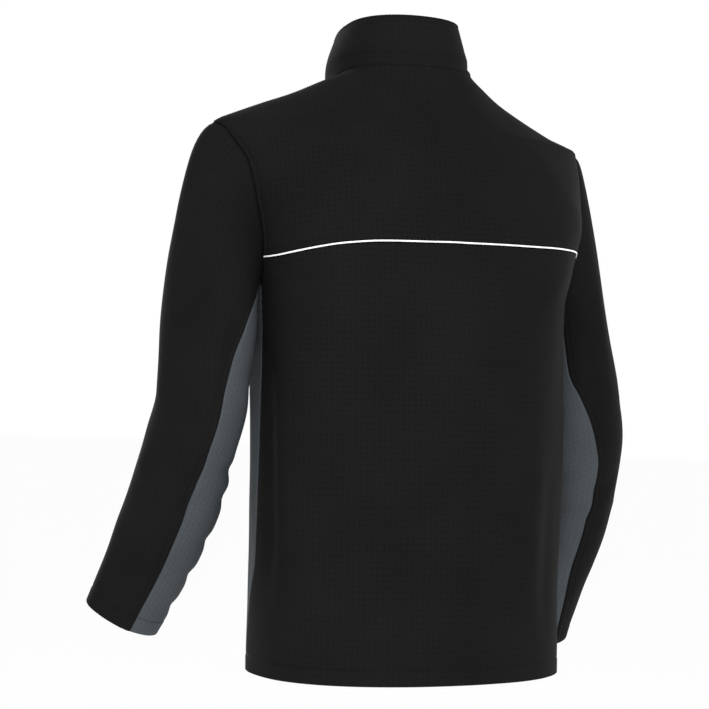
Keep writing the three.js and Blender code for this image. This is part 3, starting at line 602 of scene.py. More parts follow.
def panel(name, points, normals, folds, edges, materials, thick=CLOTH, tuck=None):
    """A closed thin shell. edges are low, high, first and last: rows run up and columns across."""
    up = arc(points, 0)
    across = arc(points, 1)
    distances = {"low": up, "high": up[-1:] - up, "first": across, "last": across[:, -1:] - across}
    lift = folds.copy()
    wall = np.full(lift.shape, float(thick))
    share = np.ones_like(lift)
    inset = np.zeros_like(lift)
    for key, edge in edges.items():
        place = across if key in ("low", "high") else up
        lift += edge_relief(distances[key], place, edge)
        if edge["kind"] == "hem":
            wall += HEM_EXTRA * ease((edge["stitch"] + 1 - distances[key]) / 2)
    for key, edge in edges.items():
        part, moved = edge_wall(distances[key], wall, edge)
        inset = np.maximum(inset, moved)
        share = np.minimum(share, part)
    outer = points + normals * (lift - inset)[..., None]
    inner = outer - normals * (wall * share)[..., None]
    for key, edge in edges.items():
        if edge.get("stitch"):
            axis = 0 if key in ("low", "high") else 1
            line = line_at(outer + normals * THREAD_PROUD, distances[key], edge["stitch"], axis)
            stitch_lines.append(line)
    if tuck is not None:
        outer = np.concatenate([tuck[None], outer])
        inner = np.concatenate([tuck[None] - normals[:1] * TUCK_WALL, inner])
        across = np.concatenate([across[:1], across])
        up = np.concatenate([up[:1] - 3, up])
    rows, cols = outer.shape[:2]
    corner = np.arange(rows * cols).reshape(rows, cols)
    a, b, c, d = corner[:-1, :-1], corner[:-1, 1:], corner[1:, 1:], corner[1:, :-1]
    face = np.stack([a, b, c, d], axis=-1).reshape(-1, 4)
    shift = rows * cols
    rim = np.concatenate([corner[0], corner[1:, -1], corner[-1, -2::-1], corner[-2:0:-1, 0]])
    ahead_rim = np.roll(rim, -1)
    border = np.stack([ahead_rim, rim, rim + shift, ahead_rim + shift], axis=-1)
    faces = np.concatenate([face, face[:, ::-1] + shift, border])
    middle_row, middle_col = rows // 2, cols // 2
    span_u = outer[middle_row, middle_col + 1] - outer[middle_row, middle_col]
    span_v = outer[middle_row + 1, middle_col] - outer[middle_row, middle_col]
    if np.dot(np.cross(span_u, span_v), normals[middle_row, middle_col]) < 0:
        faces = faces[:, ::-1]
    mesh = bpy.data.meshes.new(name)
    corners = np.concatenate([outer.reshape(-1, 3), inner.reshape(-1, 3)])
    mesh.from_pydata(((corners - NECK) * MM).tolist(), [], faces.tolist())
    cloth_uv = np.stack([across - across[:, cols // 2 : cols // 2 + 1], up], axis=-1).reshape(-1, 2)
    cloth_uv = np.concatenate([cloth_uv, cloth_uv]) * MM
    loops = np.zeros(len(mesh.loops), dtype=np.int32)
    mesh.loops.foreach_get("vertex_index", loops)
    layer = mesh.uv_layers.new(name="cloth")
    layer.data.foreach_set("uv", cloth_uv[loops].astype(np.float32).ravel())
    kinds = np.zeros(len(faces), dtype=np.int32)
    kinds[len(face) : 2 * len(face)] = 1
    mesh.polygons.foreach_set("material_index", kinds)
    mesh.shade_smooth()
    mesh.update()
    low_corner = outer[:-1, :-1]
    cells = np.cross(outer[1:, :-1] - low_corner, outer[:-1, 1:] - low_corner)
    area = float(np.sum(np.linalg.norm(cells, axis=-1))) * MM * MM
    print(name, rows, "by", cols, "grid,", round(area, 3), "square metres")
    return new_object(name, mesh, materials)


# %% [markdown]
# Materials. Softshell is a polyester face, woven fine and dyed, bonded to a fleece back. The face
# is matt: a very low specular level, a high roughness and no sheen. Its threads are about 0.4 mm
# apart, too fine for the picture, so the weave is drawn six times coarser and faint. The fleece
# behind it is a grid of tufts, which shows through as rows of faint dots. One function turns a
# hex colour into the linear values that a shader needs, and one ends every material: its colour
# runs between two close tones, and a height gives it relief.

# %% Material helpers
def colour(hex_code):
    """A linear RGBA colour from an sRGB hex value."""
    parts = [int(hex_code[i : i + 2], 16) / 255 for i in (0, 2, 4)]
    return tuple(v / 12.92 if v <= 0.04045 else ((v + 0.055) / 1.055) ** 2.4 for v in parts) + (1.0,)


def add(tree, kind, inputs=None, **settings):
    """Adds a node with its settings, and its inputs as values or as links from other sockets."""
    node = tree.nodes.new(kind)
    for name, value in settings.items():
        setattr(node, name, value)
    for name, value in (inputs or {}).items():
        if isinstance(value, bpy.types.NodeSocket):
            tree.links.new(value, node.inputs[name])
        else:
            node.inputs[name].default_value = value
    return node


def new_material(name, **shader_values):
    """A material, its node tree and its shader, with constant values on the shader's own sockets."""
    material = bpy.data.materials.new(name)
    material.use_nodes = True
    tree = material.node_tree
    shader = tree.nodes["Principled BSDF"]
    for socket, value in shader_values.items():
        shader.inputs[socket.replace("_", " ")].default_value = value
    return material, tree, shader


def two_tone(tree, shader, factor, tones, height=None, relief=(0.0, 0.0), stops=(0.0, 1.0)):
    """Colours a surface between two tones by a factor. relief is the height's strength and metres."""
    ramp = add(tree, "ShaderNodeValToRGB", {"Fac": factor})
    for element, tone, stop in zip(ramp.color_ramp.elements, tones, stops):
        element.position = stop
        element.color = colour(tone)
    tree.links.new(ramp.outputs["Color"], shader.inputs["Base Color"])
    if height is not None:
        bump = add(tree, "ShaderNodeBump", {"Height": height, "Strength": relief[0], "Distance": relief[1]})
        tree.links.new(bump.outputs["Normal"], shader.inputs["Normal"])


WAVE_STEP = 0.314  # a wave texture's band spacing at scale 1
GRID_MM = 6.8  # mm between the dots of the fleece's grid, which show through the face
GRID_SHADE = -0.13


def wave_scale(mm):
    return WAVE_STEP / (mm * MM)


def woven(name, dark, light, weave_mm, roughness, bump, **values):
    """Woven cloth: crossing threads raise it, and two sizes of noise and the fleece's dots tint it."""
    material, tree, shader = new_material(name, **values)
    uv = add(tree, "ShaderNodeUVMap", uv_map="cloth").outputs["UV"]
    place = add(tree, "ShaderNodeTexCoord").outputs["Object"]

    def crossing(spacing):
        """Bright spots where bands up the cloth cross bands over it."""
        size = {"Vector": uv, "Scale": wave_scale(spacing)}
        bands = [add(tree, "ShaderNodeTexWave", size, bands_direction=way).outputs["Fac"] for way in "XY"]
        return add(tree, "ShaderNodeMath", dict(enumerate(bands)), operation="MULTIPLY").outputs["Value"]

    fibre = add(tree, "ShaderNodeTexNoise", {"Vector": place, "Scale": 700.0, "Detail": 3.0}).outputs["Fac"]
    broad = add(tree, "ShaderNodeTexNoise", {"Vector": place, "Scale": 9.0, "Detail": 4.0}).outputs["Fac"]
    mixed = add(tree, "ShaderNodeMix", {"Factor": 0.55, "A": broad, "B": fibre}, data_type="FLOAT")
    dotted = {0: crossing(GRID_MM), 1: GRID_SHADE, 2: mixed.outputs["Result"]}
    shade = add(tree, "ShaderNodeMath", dotted, operation="MULTIPLY_ADD").outputs["Value"]
    height = add(tree, "ShaderNodeMath", {0: crossing(weave_mm), 1: fibre}, operation="ADD")
    relief = (bump, 0.0004)
    two_tone(tree, shader, shade, (dark, light), height.outputs["Value"], relief, stops=(0.3, 0.7))
    spread = {"Value": fibre, "To Min": roughness - 0.06, "To Max": roughness + 0.06}
    tree.links.new(add(tree, "ShaderNodeMapRange", spread).outputs["Result"], shader.inputs["Roughness"])
    return material


# %% [markdown]
# The fleece inside is knitted and brushed, so it has no threads to see, only soft tufts. The
# piping is a strip of retroreflective film round a cord: tiny glass beads in a pale binder. It is
# sewn to a flat tape, painted near black as the shade that lies along both sides of the cord.

# %% The cloth materials
black_face = woven("black bonded polyester", "101010", "181818", 2.4, 0.9, 0.22, Specular_IOR_Level=0.04)
grey_face = woven("grey bonded polyester", "3b3f42", "484c50", 2.4, 0.88, 0.22, Specular_IOR_Level=0.05)
tape_weave = woven("woven zip tape", "101011", "161617", 1.2, 0.8, 0.4, Specular_IOR_Level=0.15)
# The piping tape's near-black tones are painted shade, for the dark grooves beside the cord.
flange_painted_shade = woven("piping tape painted as shade", "030303", "060606", 1.2, 0.9, 0.3, Specular_IOR_Level=0.03)


def spotted(name, tones, cell_scale, patch_scale, patch_detail, relief, **values):
    """A surface raised in small round cells, as tufts or beads are, with soft patches of colour."""
    material, tree, shader = new_material(name, **values)
    place = add(tree, "ShaderNodeTexCoord").outputs["Object"]
    cells = add(tree, "ShaderNodeTexVoronoi", {"Vector": place, "Scale": cell_scale}).outputs["Distance"]
    patch = add(tree, "ShaderNodeTexNoise", {"Vector": place, "Scale": patch_scale, "Detail": patch_detail})
    two_tone(tree, shader, patch.outputs["Fac"], tones, cells, relief)
    return material


black_fleece = spotted(
    "black brushed fleece", ("0d0d0e", "1c1c1e"), 420.0, 60.0, 5.0, (0.5, 0.001),
    Roughness=0.95, Specular_IOR_Level=0.05, Sheen_Weight=0.05,
)
piping_film = spotted(
    "retroreflective film", ("e2e3e4", "f8f8f8"), 1500.0, 45.0, 6.0, (0.2, 0.0002),
    Roughness=0.38, Specular_IOR_Level=0.5,
)
CLOTH_BLACK = [black_face, black_fleece]
CLOTH_GREY = [grey_face, black_fleece]
print("materials", len(bpy.data.materials))

# %% [markdown]
# The back. Its rows run from side seam to side seam, and lean into the yoke seam towards the top.
# Below the armholes the rows end on the side seams, and above them on the armholes themselves.
# The same rule makes the yoke, whose rows end on the shoulder seams near the neck.

# %% Back panel and yoke
def back_grid(centre, right_edge, left_edge, places):
    """Angles and levels of rows across the back. Each edge is (levels, angles), one for each row."""
    angles = []
    levels = []
    for w in places * 2 - 1:
        edge, arm = (right_edge, "right") if w < 0 else (left_edge, "left")
        levels.append(centre + (edge[0] - centre) * yoke_lean[arm](abs(w)))
        angles.append(w * edge[1])
    return np.array(angles).T, np.array(levels).T


def two_parts(rows, split):
    """How far each row is up the part below a split, and up the part above it."""
    return np.clip(rows / split, 0, 1), np.clip((rows - split) / (1 - split), 0, 1)


def row_ends(turns, on_loop, level, angle):
    """The rows' ends on the right and the left: some on the armhole, at a turn, others as given."""
    return [
        (np.where(on_loop, loop_level(turns[arm]), level), np.where(on_loop, loop_angle(turns[arm]), angle))
        for arm in ("right", "left")
    ]


def seam_edge(stitch=None):
    return {"kind": "seam", "stitch": stitch}


def body_panel(name, angles, levels, edges, materials, **more):
    """A panel of the body. Its edges are its low, high, first and last ones."""
    points = body_point(angles, levels)
    folds = body_relief(angles, levels) + swell(points) * ease((NECK_LEVEL - levels) / 40)
    edges = dict(zip(("low", "high", "first", "last"), edges))
    return panel(name, points, body_normal(angles, levels), folds, edges, materials, **more)


HEM_EDGE = {"kind": "hem", "stitch": HEM}
ARMHOLE_STITCH = 6.0
YOKE_STITCH = 7.5
YOKE_TOP = 0.66  # the part of the yoke's rows that end on the armholes

height, width = SPANS["back"]
rows = graded(height, first=HEM)
split = loop_level(ARMHOLE["panel_turn"]) / height
low_part, top_part = two_parts(rows, split)
seam_level, seam_angle = side_seam(low_part, "back")
turns = {arm: lerp(ARMHOLE["panel_turn"], YOKE[arm], top_part) for arm in SIDES}
low_centre = seam_level * WAIST_RISE
centre = np.where(rows > split, lerp(low_centre[-1], YOKE["centre"], top_part), low_centre)
back_ends = row_ends(turns, rows > split, seam_level, seam_angle)
angles, levels = back_grid(centre, *back_ends, graded(width))
back_edges = (HEM_EDGE, PIPED_EDGE, SEAM_EDGE, SEAM_EDGE)
back_panel = body_panel("back_panel_cloth", angles, levels, back_edges, CLOTH_BLACK)

height, width = SPANS["yoke"]
rows = graded(height, first=YOKE_STITCH)
low_part, top_part = two_parts(rows, YOKE_TOP)
shoulder_level = lerp(TIP_LEVEL, NECK_LEVEL, top_part)
turns = {arm: YOKE[arm] * (1 - low_part) for arm in SIDES}
rise = np.sin(low_part * math.pi / 2)
centre = np.where(rows < YOKE_TOP, lerp(YOKE["centre"], TIP_LEVEL, rise), shoulder_level)
yoke_ends = row_ends(turns, rows < YOKE_TOP, shoulder_level, 90)
columns = graded(width, first=ARMHOLE_STITCH, last=ARMHOLE_STITCH)
angles, levels = back_grid(centre, *yoke_ends, columns)
armhole_edge = seam_edge(ARMHOLE_STITCH)
yoke_edges = (PIPED_EDGE | {"stitch": YOKE_STITCH}, SEAM_EDGE, armhole_edge, armhole_edge)
back_yoke = body_panel("back_yoke_cloth", angles, levels, yoke_edges, CLOTH_BLACK)

# %% [markdown]
# The grey side panels and the two fronts. They are written once for the wearer's left, and the
# right ones turn the other way round the body. A front's rows end at the zip.

# %% Side panels and fronts
def side_panel(arm, side):
    height, width = SPANS["side"]
    rows = graded(height, first=HEM)[:, None]
    columns = graded(width)
    turn = lerp(ARMHOLE["panel_turn"], 360 - ARMHOLE["panel_turn"], columns)
    levels = rows * loop_level(turn)
    _, back_angle = side_seam(rows, "back")
    _, front_angle = side_seam(rows, "front")
    inner = np.maximum(0, (rows - SEAM_BEND) / (1 - SEAM_BEND)) ** 2
    inner = inner * np.where((columns > 0) & (columns < 1), 1, 0)
    angles = lerp(lerp(back_angle, front_angle, columns), loop_angle(turn), inner)
    edges = (HEM_EDGE, SEAM_EDGE, SEAM_EDGE, SEAM_EDGE)
    return body_panel("side_panel_%s_cloth" % arm, side * angles, levels, edges, CLOTH_GREY)


FRONT_STITCH = 6.0
FRONT_EDGE = {"kind": "fold", "stitch": FRONT_STITCH}


def front_panel(arm, side):
    height, width = SPANS["front"]
    rows = graded(height, first=HEM)
    columns = graded(width, first=ARMHOLE_STITCH, last=FRONT_STITCH)
    seam_top, loop_top = 0.62, 0.88
    part = np.clip(rows / seam_top, 0, 1)
    turn = lerp(360 - ARMHOLE["panel_turn"], 360, np.clip((rows - seam_top) / (loop_top - seam_top), 0, 1))
    shoulder = lerp(TIP_LEVEL, NECK_LEVEL, np.clip((rows - loop_top) / (1 - loop_top), 0, 1))
    seam_level, seam_angle = side_seam(part, "front")
    level = np.where(rows < seam_top, seam_level, np.where(rows < loop_top, loop_level(turn), shoulder))
    outer = np.where(rows < seam_top, seam_angle, np.where(rows < loop_top, loop_angle(turn), 90))
    angles = lerp(outer[:, None], angle_at_width(level, ZIP_OPENING)[:, None], columns)
    edges = (HEM_EDGE, SEAM_EDGE, SEAM_EDGE, FRONT_EDGE)
    levels = level[:, None] + 0 * angles
    return body_panel("front_%s_cloth" % arm, side * angles, levels, edges, CLOTH_BLACK)


side_panels = {arm: side_panel(arm, side) for arm, side in SIDES.items()}
fronts = {arm: front_panel(arm, side) for arm, side in SIDES.items()}

# %% [markdown]
# The stand collar is two layers with a rounded rim and a stitch line just below it. The soft
# trough low on its back is where the collar bends over the seam allowance inside.

# %% Collar
COLLAR_CLOTH = 3.0
RIM_STITCH = 3.4
height, width = SPANS["collar"]
rows = graded(height, last=RIM_STITCH)
columns = graded(width, first=FRONT_STITCH, last=FRONT_STITCH)
level = lerp(NECK_LEVEL, RIM_LEVEL, rows)[:, None]
end = angle_at_width(level, ZIP_OPENING)
angles = lerp(-end, end, columns)
rim_edge = {"kind": "fold", "stitch": RIM_STITCH}
collar_edges = (SEAM_EDGE, rim_edge, FRONT_EDGE, FRONT_EDGE)
levels = level + 0 * angles
both_faces = [black_face, black_face]
collar = body_panel("collar_cloth", angles, levels, collar_edges, both_faces, thick=COLLAR_CLOTH)

# %% [markdown]
# The sleeves. The upper sleeve wraps the outside of the arm, the grey under sleeve faces the
# body. The first row of each tucks in under the body's edge, as the seam allowance does.

# %% Sleeves
SLEEVE_STITCH = 7.0
TUCK = 3.2
UNDER_LAP = 0.6


def sleeve_panel(arm, part):
    shape = ARMS[arm]
    seams = smooth_columns(UNDER_SLEEVE[arm], "run")
    length = shape["distance"][-1]
    stitch = SLEEVE_STITCH if part == "upper" else None
    rows = graded(length, last=HEM)
    columns = graded(SLEEVE_SPANS[part], first=stitch, last=stitch)
    run = np.interp(rows * length, shape["distance"], shape["runs"])[:, None]
    back, front = seams["back"](run), seams["front"](run)
    turn = lerp(front - 360, back, columns) if part == "upper" else lerp(back, front, columns)
    run = run + 0 * turn
    points = shape["point"](turn, run)
    normals = shape["normal"](turn, run)
    folds = sleeve_relief(arm, turn, rows[:, None] * length) + swell(points)
    loop = points[0] - normals[0] * (ROLL_DEEP + UNDER_LAP)
    tuck = loop - np.array([shape["side"] * TUCK, 0, 0])
    edges = {"low": SEAM_EDGE, "high": HEM_EDGE, "first": seam_edge(stitch), "last": seam_edge(stitch)}
    materials = CLOTH_BLACK if part == "upper" else CLOTH_GREY
    return panel("sleeve_%s_%s_cloth" % (part, arm), points, normals, folds, edges, materials, tuck=tuck)


sleeves = {(part, arm): sleeve_panel(arm, part) for arm in SIDES for part in ("upper", "under")}

# %% [markdown]
# The piping lies in the yoke seam, a little proud of the cloth. It is swept along the seam with a
# rounded outline, on the same surface and folds as the panels that it joins. Its flat tape is
# swept along the same line, a little sunk, and its near-black edges above and below the cord are painted
# shade.

# %% Piping
PIPING = {"wide": 2.0, "high": 0.95, "foot": -0.4, "sunk": -1.4}
FLANGE = {"wide": 4.8, "face": -0.35, "back": -1.5}


def sweep(name, spine, rise, out, outline, materials):
    """A closed band through a line of points: outline is across and up from the surface, in mm."""
    ring = np.array([spine + rise * a + out * b for a, b in outline]).swapaxes(0, 1)
    count, sides = ring.shape[:2]
    corner = np.arange(count * sides).reshape(count, sides)
    after = np.roll(corner, -1, axis=1)
    faces = np.stack([corner[:-1], after[:-1], after[1:], corner[1:]], axis=-1).reshape(-1, 4).tolist()
    faces += [corner[0, ::-1].tolist(), corner[-1].tolist()]
    mesh = bpy.data.meshes.new(name)
    mesh.from_pydata(((ring.reshape(-1, 3) - NECK) * MM).tolist(), [], faces)
    shape = bmesh.new()
    shape.from_mesh(mesh)
    bmesh.ops.recalc_face_normals(shape, faces=shape.faces)
    mesh = mesh_of(shape, name)
    length = np.concatenate([[0], np.cumsum(np.linalg.norm(np.diff(spine, axis=0), axis=1))])
    layer = mesh.uv_layers.new(name="cloth")
    for loop in mesh.loops:
        i, j = divmod(loop.vertex_index, sides)
        layer.data[loop.index].uv = (outline[j][0] * MM, length[i] * MM)
    mesh.shade_smooth()
    return new_object(name, mesh, materials)


places = np.linspace(0.003, 0.997, 241)
edge = [(np.array([loop_level(YOKE[a])]), np.array([loop_angle(YOKE[a])])) for a in ("right", "left")]
angles, levels = back_grid(np.array([float(YOKE["centre"])]), *edge, places)
angles, levels = angles[0], levels[0]
spine = body_point(angles, levels)
out = body_normal(angles, levels)
spine = spine + out * (body_relief(angles, levels) + swell(spine))[:, None]
run_along = unit(np.gradient(spine, axis=0))
rise = unit(np.cross(out, run_along))
half = PIPING["wide"] / 2
half_turn = np.linspace(0, math.pi, 9)
dome = [(-math.cos(a) * half, math.sin(a) ** 0.7 * PIPING["high"] + PIPING["foot"]) for a in half_turn]
dome += [(half, PIPING["sunk"]), (-half, PIPING["sunk"])]
piping = sweep("yoke_piping_film", spine, rise, out, dome, [piping_film])
low, high = -FLANGE["wide"] / 2, FLANGE["wide"] / 2
strip = [(low, FLANGE["back"]), (low, FLANGE["face"]), (high, FLANGE["face"]), (high, FLANGE["back"])]
flange = sweep("yoke_piping_flange", spine, rise, out, strip, [flange_painted_shade])
print("piping", round(np.sum(np.linalg.norm(np.diff(spine, axis=0), axis=1))), "mm long")

# %% [markdown]
# Stitching. A lockstitch shows as a row of short thread ends. Geometry Nodes lay one small
# stitch again and again along the lines that the panels kept: the lines become curves, points
# are spread along them at the stitch length, and a copy of the stitch is turned to each.

# %% Rows of small parts
def row_tree(name):
    """Copies of a shape along lines, with named inputs for the spacing, the shape and the rest."""
    tree = bpy.data.node_groups.new(name, "GeometryNodeTree")
    kinds = {"Geometry": "Geometry", "Spacing": "Float", "Side": "Vector", "Shape": "Object"}
    kinds["Material"] = "Material"
    for socket, kind in kinds.items():
        tree.interface.new_socket(socket, in_out="INPUT", socket_type="NodeSocket" + kind)
    tree.interface.new_socket("Geometry", in_out="OUTPUT", socket_type="NodeSocketGeometry")
    given = add(tree, "NodeGroupInput").outputs
    lines = add(tree, "GeometryNodeMeshToCurve", {"Mesh": given["Geometry"]}).outputs["Curve"]
    facing = {"Curve": lines, "Normal": given["Side"]}
    turned = add(tree, "GeometryNodeSetCurveNormal", facing, mode="FREE").outputs["Curve"]
    spaced = {"Curve": turned, "Length": given["Spacing"]}
    spots = add(tree, "GeometryNodeCurveToPoints", spaced, mode="LENGTH").outputs
    shape = add(tree, "GeometryNodeObjectInfo", {"Object": given["Shape"]}).outputs["Geometry"]
    placed = {"Points": spots["Points"], "Instance": shape, "Rotation": spots["Rotation"]}
    copies = add(tree, "GeometryNodeInstanceOnPoints", placed).outputs["Instances"]
    solid = add(tree, "GeometryNodeRealizeInstances", {"Geometry": copies}).outputs["Geometry"]
    painted = {"Geometry": solid, "Material": given["Material"]}
    finished = add(tree, "GeometryNodeSetMaterial", painted).outputs["Geometry"]
    add(tree, "NodeGroupOutput", {"Geometry": finished})
    return tree


along_lines = row_tree("small parts along lines")


def lay_row(name, lines, shape, spacing, material, smooth):
    """Runs the tree on polylines in mm, and keeps the result as a plain mesh."""
    corners = np.concatenate(lines)
    starts = np.cumsum([0] + [len(line) for line in lines])
    edges = [(i, i + 1) for a, b in zip(starts[:-1], starts[1:]) for i in range(a, b - 1)]
    mesh = bpy.data.meshes.new(name + "_lines")
    mesh.from_pydata(((corners - NECK) * MM).tolist(), edges, [])
    holder = new_object(name + "_lines", mesh)
    modifier = holder.modifiers.new("row", "NODES")
    modifier.node_group = along_lines
    given = {"Spacing": spacing * MM, "Side": (1.0, 0.0, 0.0), "Shape": shape, "Material": material}
    for item in along_lines.interface.items_tree:
        if item.in_out == "INPUT" and item.name in given:
            modifier[item.identifier] = given[item.name]
    evaluated = holder.evaluated_get(bpy.context.evaluated_depsgraph_get())
    plain = bpy.data.meshes.new_from_object(evaluated)
    plain.name = name
    bpy.data.objects.remove(holder)
    if smooth:
        plain.shade_smooth()
    print(name, len(plain.polygons), "faces")
    return new_object(name, plain)


def small_shape(name, build, *more):
    """A helper object that rows are made from. It is removed once they are."""
    shape = bmesh.new()
    build(shape, *more)
    return new_object(name, mesh_of(shape, name))


# %% Thread and stitches
STITCH = {"spacing": 3.2, "long": 2.7, "thick": 0.55}


# Two shiny plies twisted together: a touch glossier than the matt cloth, in fine slanting ribs.
def twisted_thread(name):
    material, tree, shader = new_material(name, Roughness=0.6, Specular_IOR_Level=0.2)
    place = add(tree, "ShaderNodeTexCoord").outputs["Object"]
    plies = {"Vector": place, "Scale": wave_scale(0.5)}
    twist = add(tree, "ShaderNodeTexWave", plies, bands_direction="DIAGONAL")
    shade = add(tree, "ShaderNodeTexNoise", {"Vector": place, "Scale": 120.0}).outputs["Fac"]
    # The thread's tones are darker than the cloth's: partly the thread's own black, partly painted shade of
    # the stitch valley.
    two_tone(tree, shader, shade, ("040404", "141415"), twist.outputs["Fac"], (0.4, 0.0001))
    return material


thread = twisted_thread("polyester thread")


def one_stitch(shape):
    bmesh.ops.create_uvsphere(shape, u_segments=6, v_segments=4, radius=1)
    scale = Vector((STITCH["thick"] / 2, STITCH["thick"] / 2, STITCH["long"] / 2)) * MM
    bmesh.ops.scale(shape, verts=shape.verts, vec=scale)


stitch_shape = small_shape("one_stitch", one_stitch)
stitching = lay_row("stitching", stitch_lines, stitch_shape, STITCH["spacing"], thread, smooth=True)
bpy.data.objects.remove(stitch_shape)

# %% [markdown]
# The zip. Moulded teeth sit on the edges of two woven tapes, and lock together in turn. The
# same rows make them: one row for each side, the second half a step higher. Each tooth is a
# rounded block with a narrower head that reaches past the middle.

# %% Zip tapes and teeth
ZIP = {"top": 772.0, "inner": 0.6, "outer": 8.1, "face": -0.7, "back": -1.5}
TEETH = {"spacing": 2.9, "root": 2.9, "head": 1.3, "out": 0.7, "back": -1.9}
SLIDER_LEVEL = 760.0
CHAIN_TOP = SLIDER_LEVEL + 3.2


def zip_frame(level):
    """The zip's middle line and its directions up and out of the cloth, at some levels."""
    near = np.clip(level, 1, RIM_LEVEL - 1)
    rise = unit(body_point(180.0, near + 1) - body_point(180.0, near - 1))
    across = np.zeros_like(rise) + np.array([1.0, 0, 0])
    return body_point(180.0 + 0 * level, level), rise, unit(np.cross(across, rise))


def zip_line(start, end, step):
    return zip_frame(np.linspace(start, end, round((end - start) / step)))


# Moulded acetal is smooth and close-grained, with a soft even gloss.
moulded, tree, shader = new_material("moulded acetal", Roughness=0.42, Specular_IOR_Level=0.4)
place = add(tree, "ShaderNodeTexCoord").outputs["Object"]
grain = add(tree, "ShaderNodeTexNoise", {"Vector": place, "Scale": 350.0, "Detail": 3.0}).outputs["Fac"]
two_tone(tree, shader, grain, ("121213", "1c1c1e"), grain, (0.15, 0.0001))

tapes = {}
for arm, side in SIDES.items():
    middle, rise, out = zip_line(0.6, ZIP["top"], 5)
    across = np.zeros_like(rise) + np.array([float(side), 0, 0])
    low, high, face, back = ZIP["inner"], ZIP["outer"], ZIP["face"], ZIP["back"]
    band = [(low, (face + back) / 2), (low + 0.3, face), (high, face), (high, back), (low + 0.3, back)]
    tapes[arm] = sweep("zip_tape_%s_weave" % arm, middle, across, out, band, [tape_weave])


def one_tooth(shape, side):
    """A tooth of one side: it reaches from its root on the tape past the middle of the zip."""
    outline = [(TEETH["root"] + 0.4, 0.62), (0.9, 0.5), (0.1, 0.36), (-0.7, 0.62), (-TEETH["head"], 0.3)]
    points = outline + [(x, -z) for x, z in reversed(outline)]
    low = [shape.verts.new((side * x * MM, -TEETH["out"] * MM, z * MM)) for x, z in points]
    face = shape.faces.new(low)
    grown = bmesh.ops.extrude_face_region(shape, geom=[face])
    moved = [v for v in grown["geom"] if isinstance(v, bmesh.types.BMVert)]
    bmesh.ops.translate(shape, verts=moved, vec=Vector((0, (TEETH["out"] - TEETH["back"]) * MM, 0)))
    bmesh.ops.recalc_face_normals(shape, faces=shape.faces)
    rims = [e for e in shape.edges if abs(e.verts[0].co.y - e.verts[1].co.y) < 0.1 * MM]
    bmesh.ops.bevel(shape, geom=rims, offset=0.18 * MM, segments=1, affect="EDGES")


teeth = {}
for arm, side in SIDES.items():
    tooth = small_shape("one_tooth", one_tooth, side)
    start = 1.2 if arm == "left" else 1.2 + TEETH["spacing"] / 2
    middle = zip_line(start, CHAIN_TOP, 4)[0]
    teeth[arm] = lay_row("zip_teeth_" + arm, [middle], tooth, TEETH["spacing"], moulded, smooth=False)
    bpy.data.objects.remove(tooth)

# %% [markdown]
# The slider and its pull tab are cast zinc with a black lacquer. They keep the places and sizes
# of the imported ones, but with the rounded edges of a casting. The tab rides on its own body,
# with its bar through the slider's lug.

# %% Slider and pull tab
# Lacquer sprayed over a casting: a smooth dark gloss, uneven like fine orange peel.
lacquer, tree, shader = new_material("black lacquered zinc", Roughness=0.35, Specular_IOR_Level=0.5)
place = add(tree, "ShaderNodeTexCoord").outputs["Object"]
sprayed = {"Vector": place, "Scale": 260.0, "Detail": 4.0}
orange_peel = add(tree, "ShaderNodeTexNoise", sprayed).outputs["Fac"]
two_tone(tree, shader, orange_peel, ("161617", "242527"))
rough = add(tree, "ShaderNodeMapRange", {"Value": orange_peel, "To Min": 0.28, "To Max": 0.45})
tree.links.new(rough.outputs["Result"], shader.inputs["Roughness"])

SLIDER = {"top": 9.0, "low": 7.0, "long": 13.0, "plate": 1.3, "post": (4.4, 3.0)}
LUG = {"wide": 2.0, "long": 6.6, "rise": 3.9, "slot_long": 3.2, "slot_rise": 2.4, "floor": 0.2}
PULL = {"bar": 0.8, "arm": 1.4, "arm_middle": 2.4, "wide": 7.4, "thick": 1.6, "long": 30.0, "neck": 8.0}
LUG_STEPS = 16
CHAIN = {"out": 0.7, "in": -1.9}
GAP = 0.3
PLATE_FACE = CHAIN["out"] + GAP + SLIDER["plate"]
PIVOT_RISE = PLATE_FACE + LUG["floor"] + LUG["slot_rise"] / 2


def rounded_outline(wide_low, wide_high, low, high, corner, steps=4):
    """The corners of a plate in X and Z, with round corners and straight, maybe slanting, sides."""
    sides = [(wide_high, high, 0), (-wide_high, high, 90), (-wide_low, low, 180), (wide_low, low, 270)]
    points = []
    for wide, z, turn in sides:
        cx = wide / 2 - math.copysign(corner, wide)
        cz = z - corner if turn < 180 else z + corner
        for i in range(steps + 1):
            a = math.radians(turn + 90 * i / steps)
            points.append((cx + corner * math.cos(a), cz + corner * math.sin(a)))
    return points


def plate(shape, outline, face, back, bevel=0.25):
    """A plate between two depths, outward being -Y, with its rims eased."""
    low = [shape.verts.new((x, -face, z)) for x, z in outline]
    top = shape.faces.new(low)
    grown = bmesh.ops.extrude_face_region(shape, geom=[top])
    moved = [v for v in grown["geom"] if isinstance(v, bmesh.types.BMVert)]
    bmesh.ops.translate(shape, verts=moved, vec=Vector((0, face - back, 0)))
    mine = set(low) | set(moved)
    own = [e for e in shape.edges if set(e.verts) <= mine]
    rims = [e for e in own if abs(e.verts[0].co.y - e.verts[1].co.y) < 1e-4]
    bmesh.ops.bevel(shape, geom=rims, offset=bevel, segments=2, affect="EDGES")


def metal_piece(name, build, placed):
    """A metal piece from a build in mm, placed by a matrix in mm from the hem's centre."""
    shape = bmesh.new()
    build(shape)
    bmesh.ops.recalc_face_normals(shape, faces=shape.faces)
    bmesh.ops.transform(shape, matrix=placed, verts=shape.verts)
    bmesh.ops.translate(shape, verts=shape.verts, vec=-Vector(NECK))
    bmesh.ops.scale(shape, verts=shape.verts, vec=Vector((MM, MM, MM)))
    print(name, len(shape.faces), "faces")
    return new_object(name, mesh_of(shape, name), [lacquer])


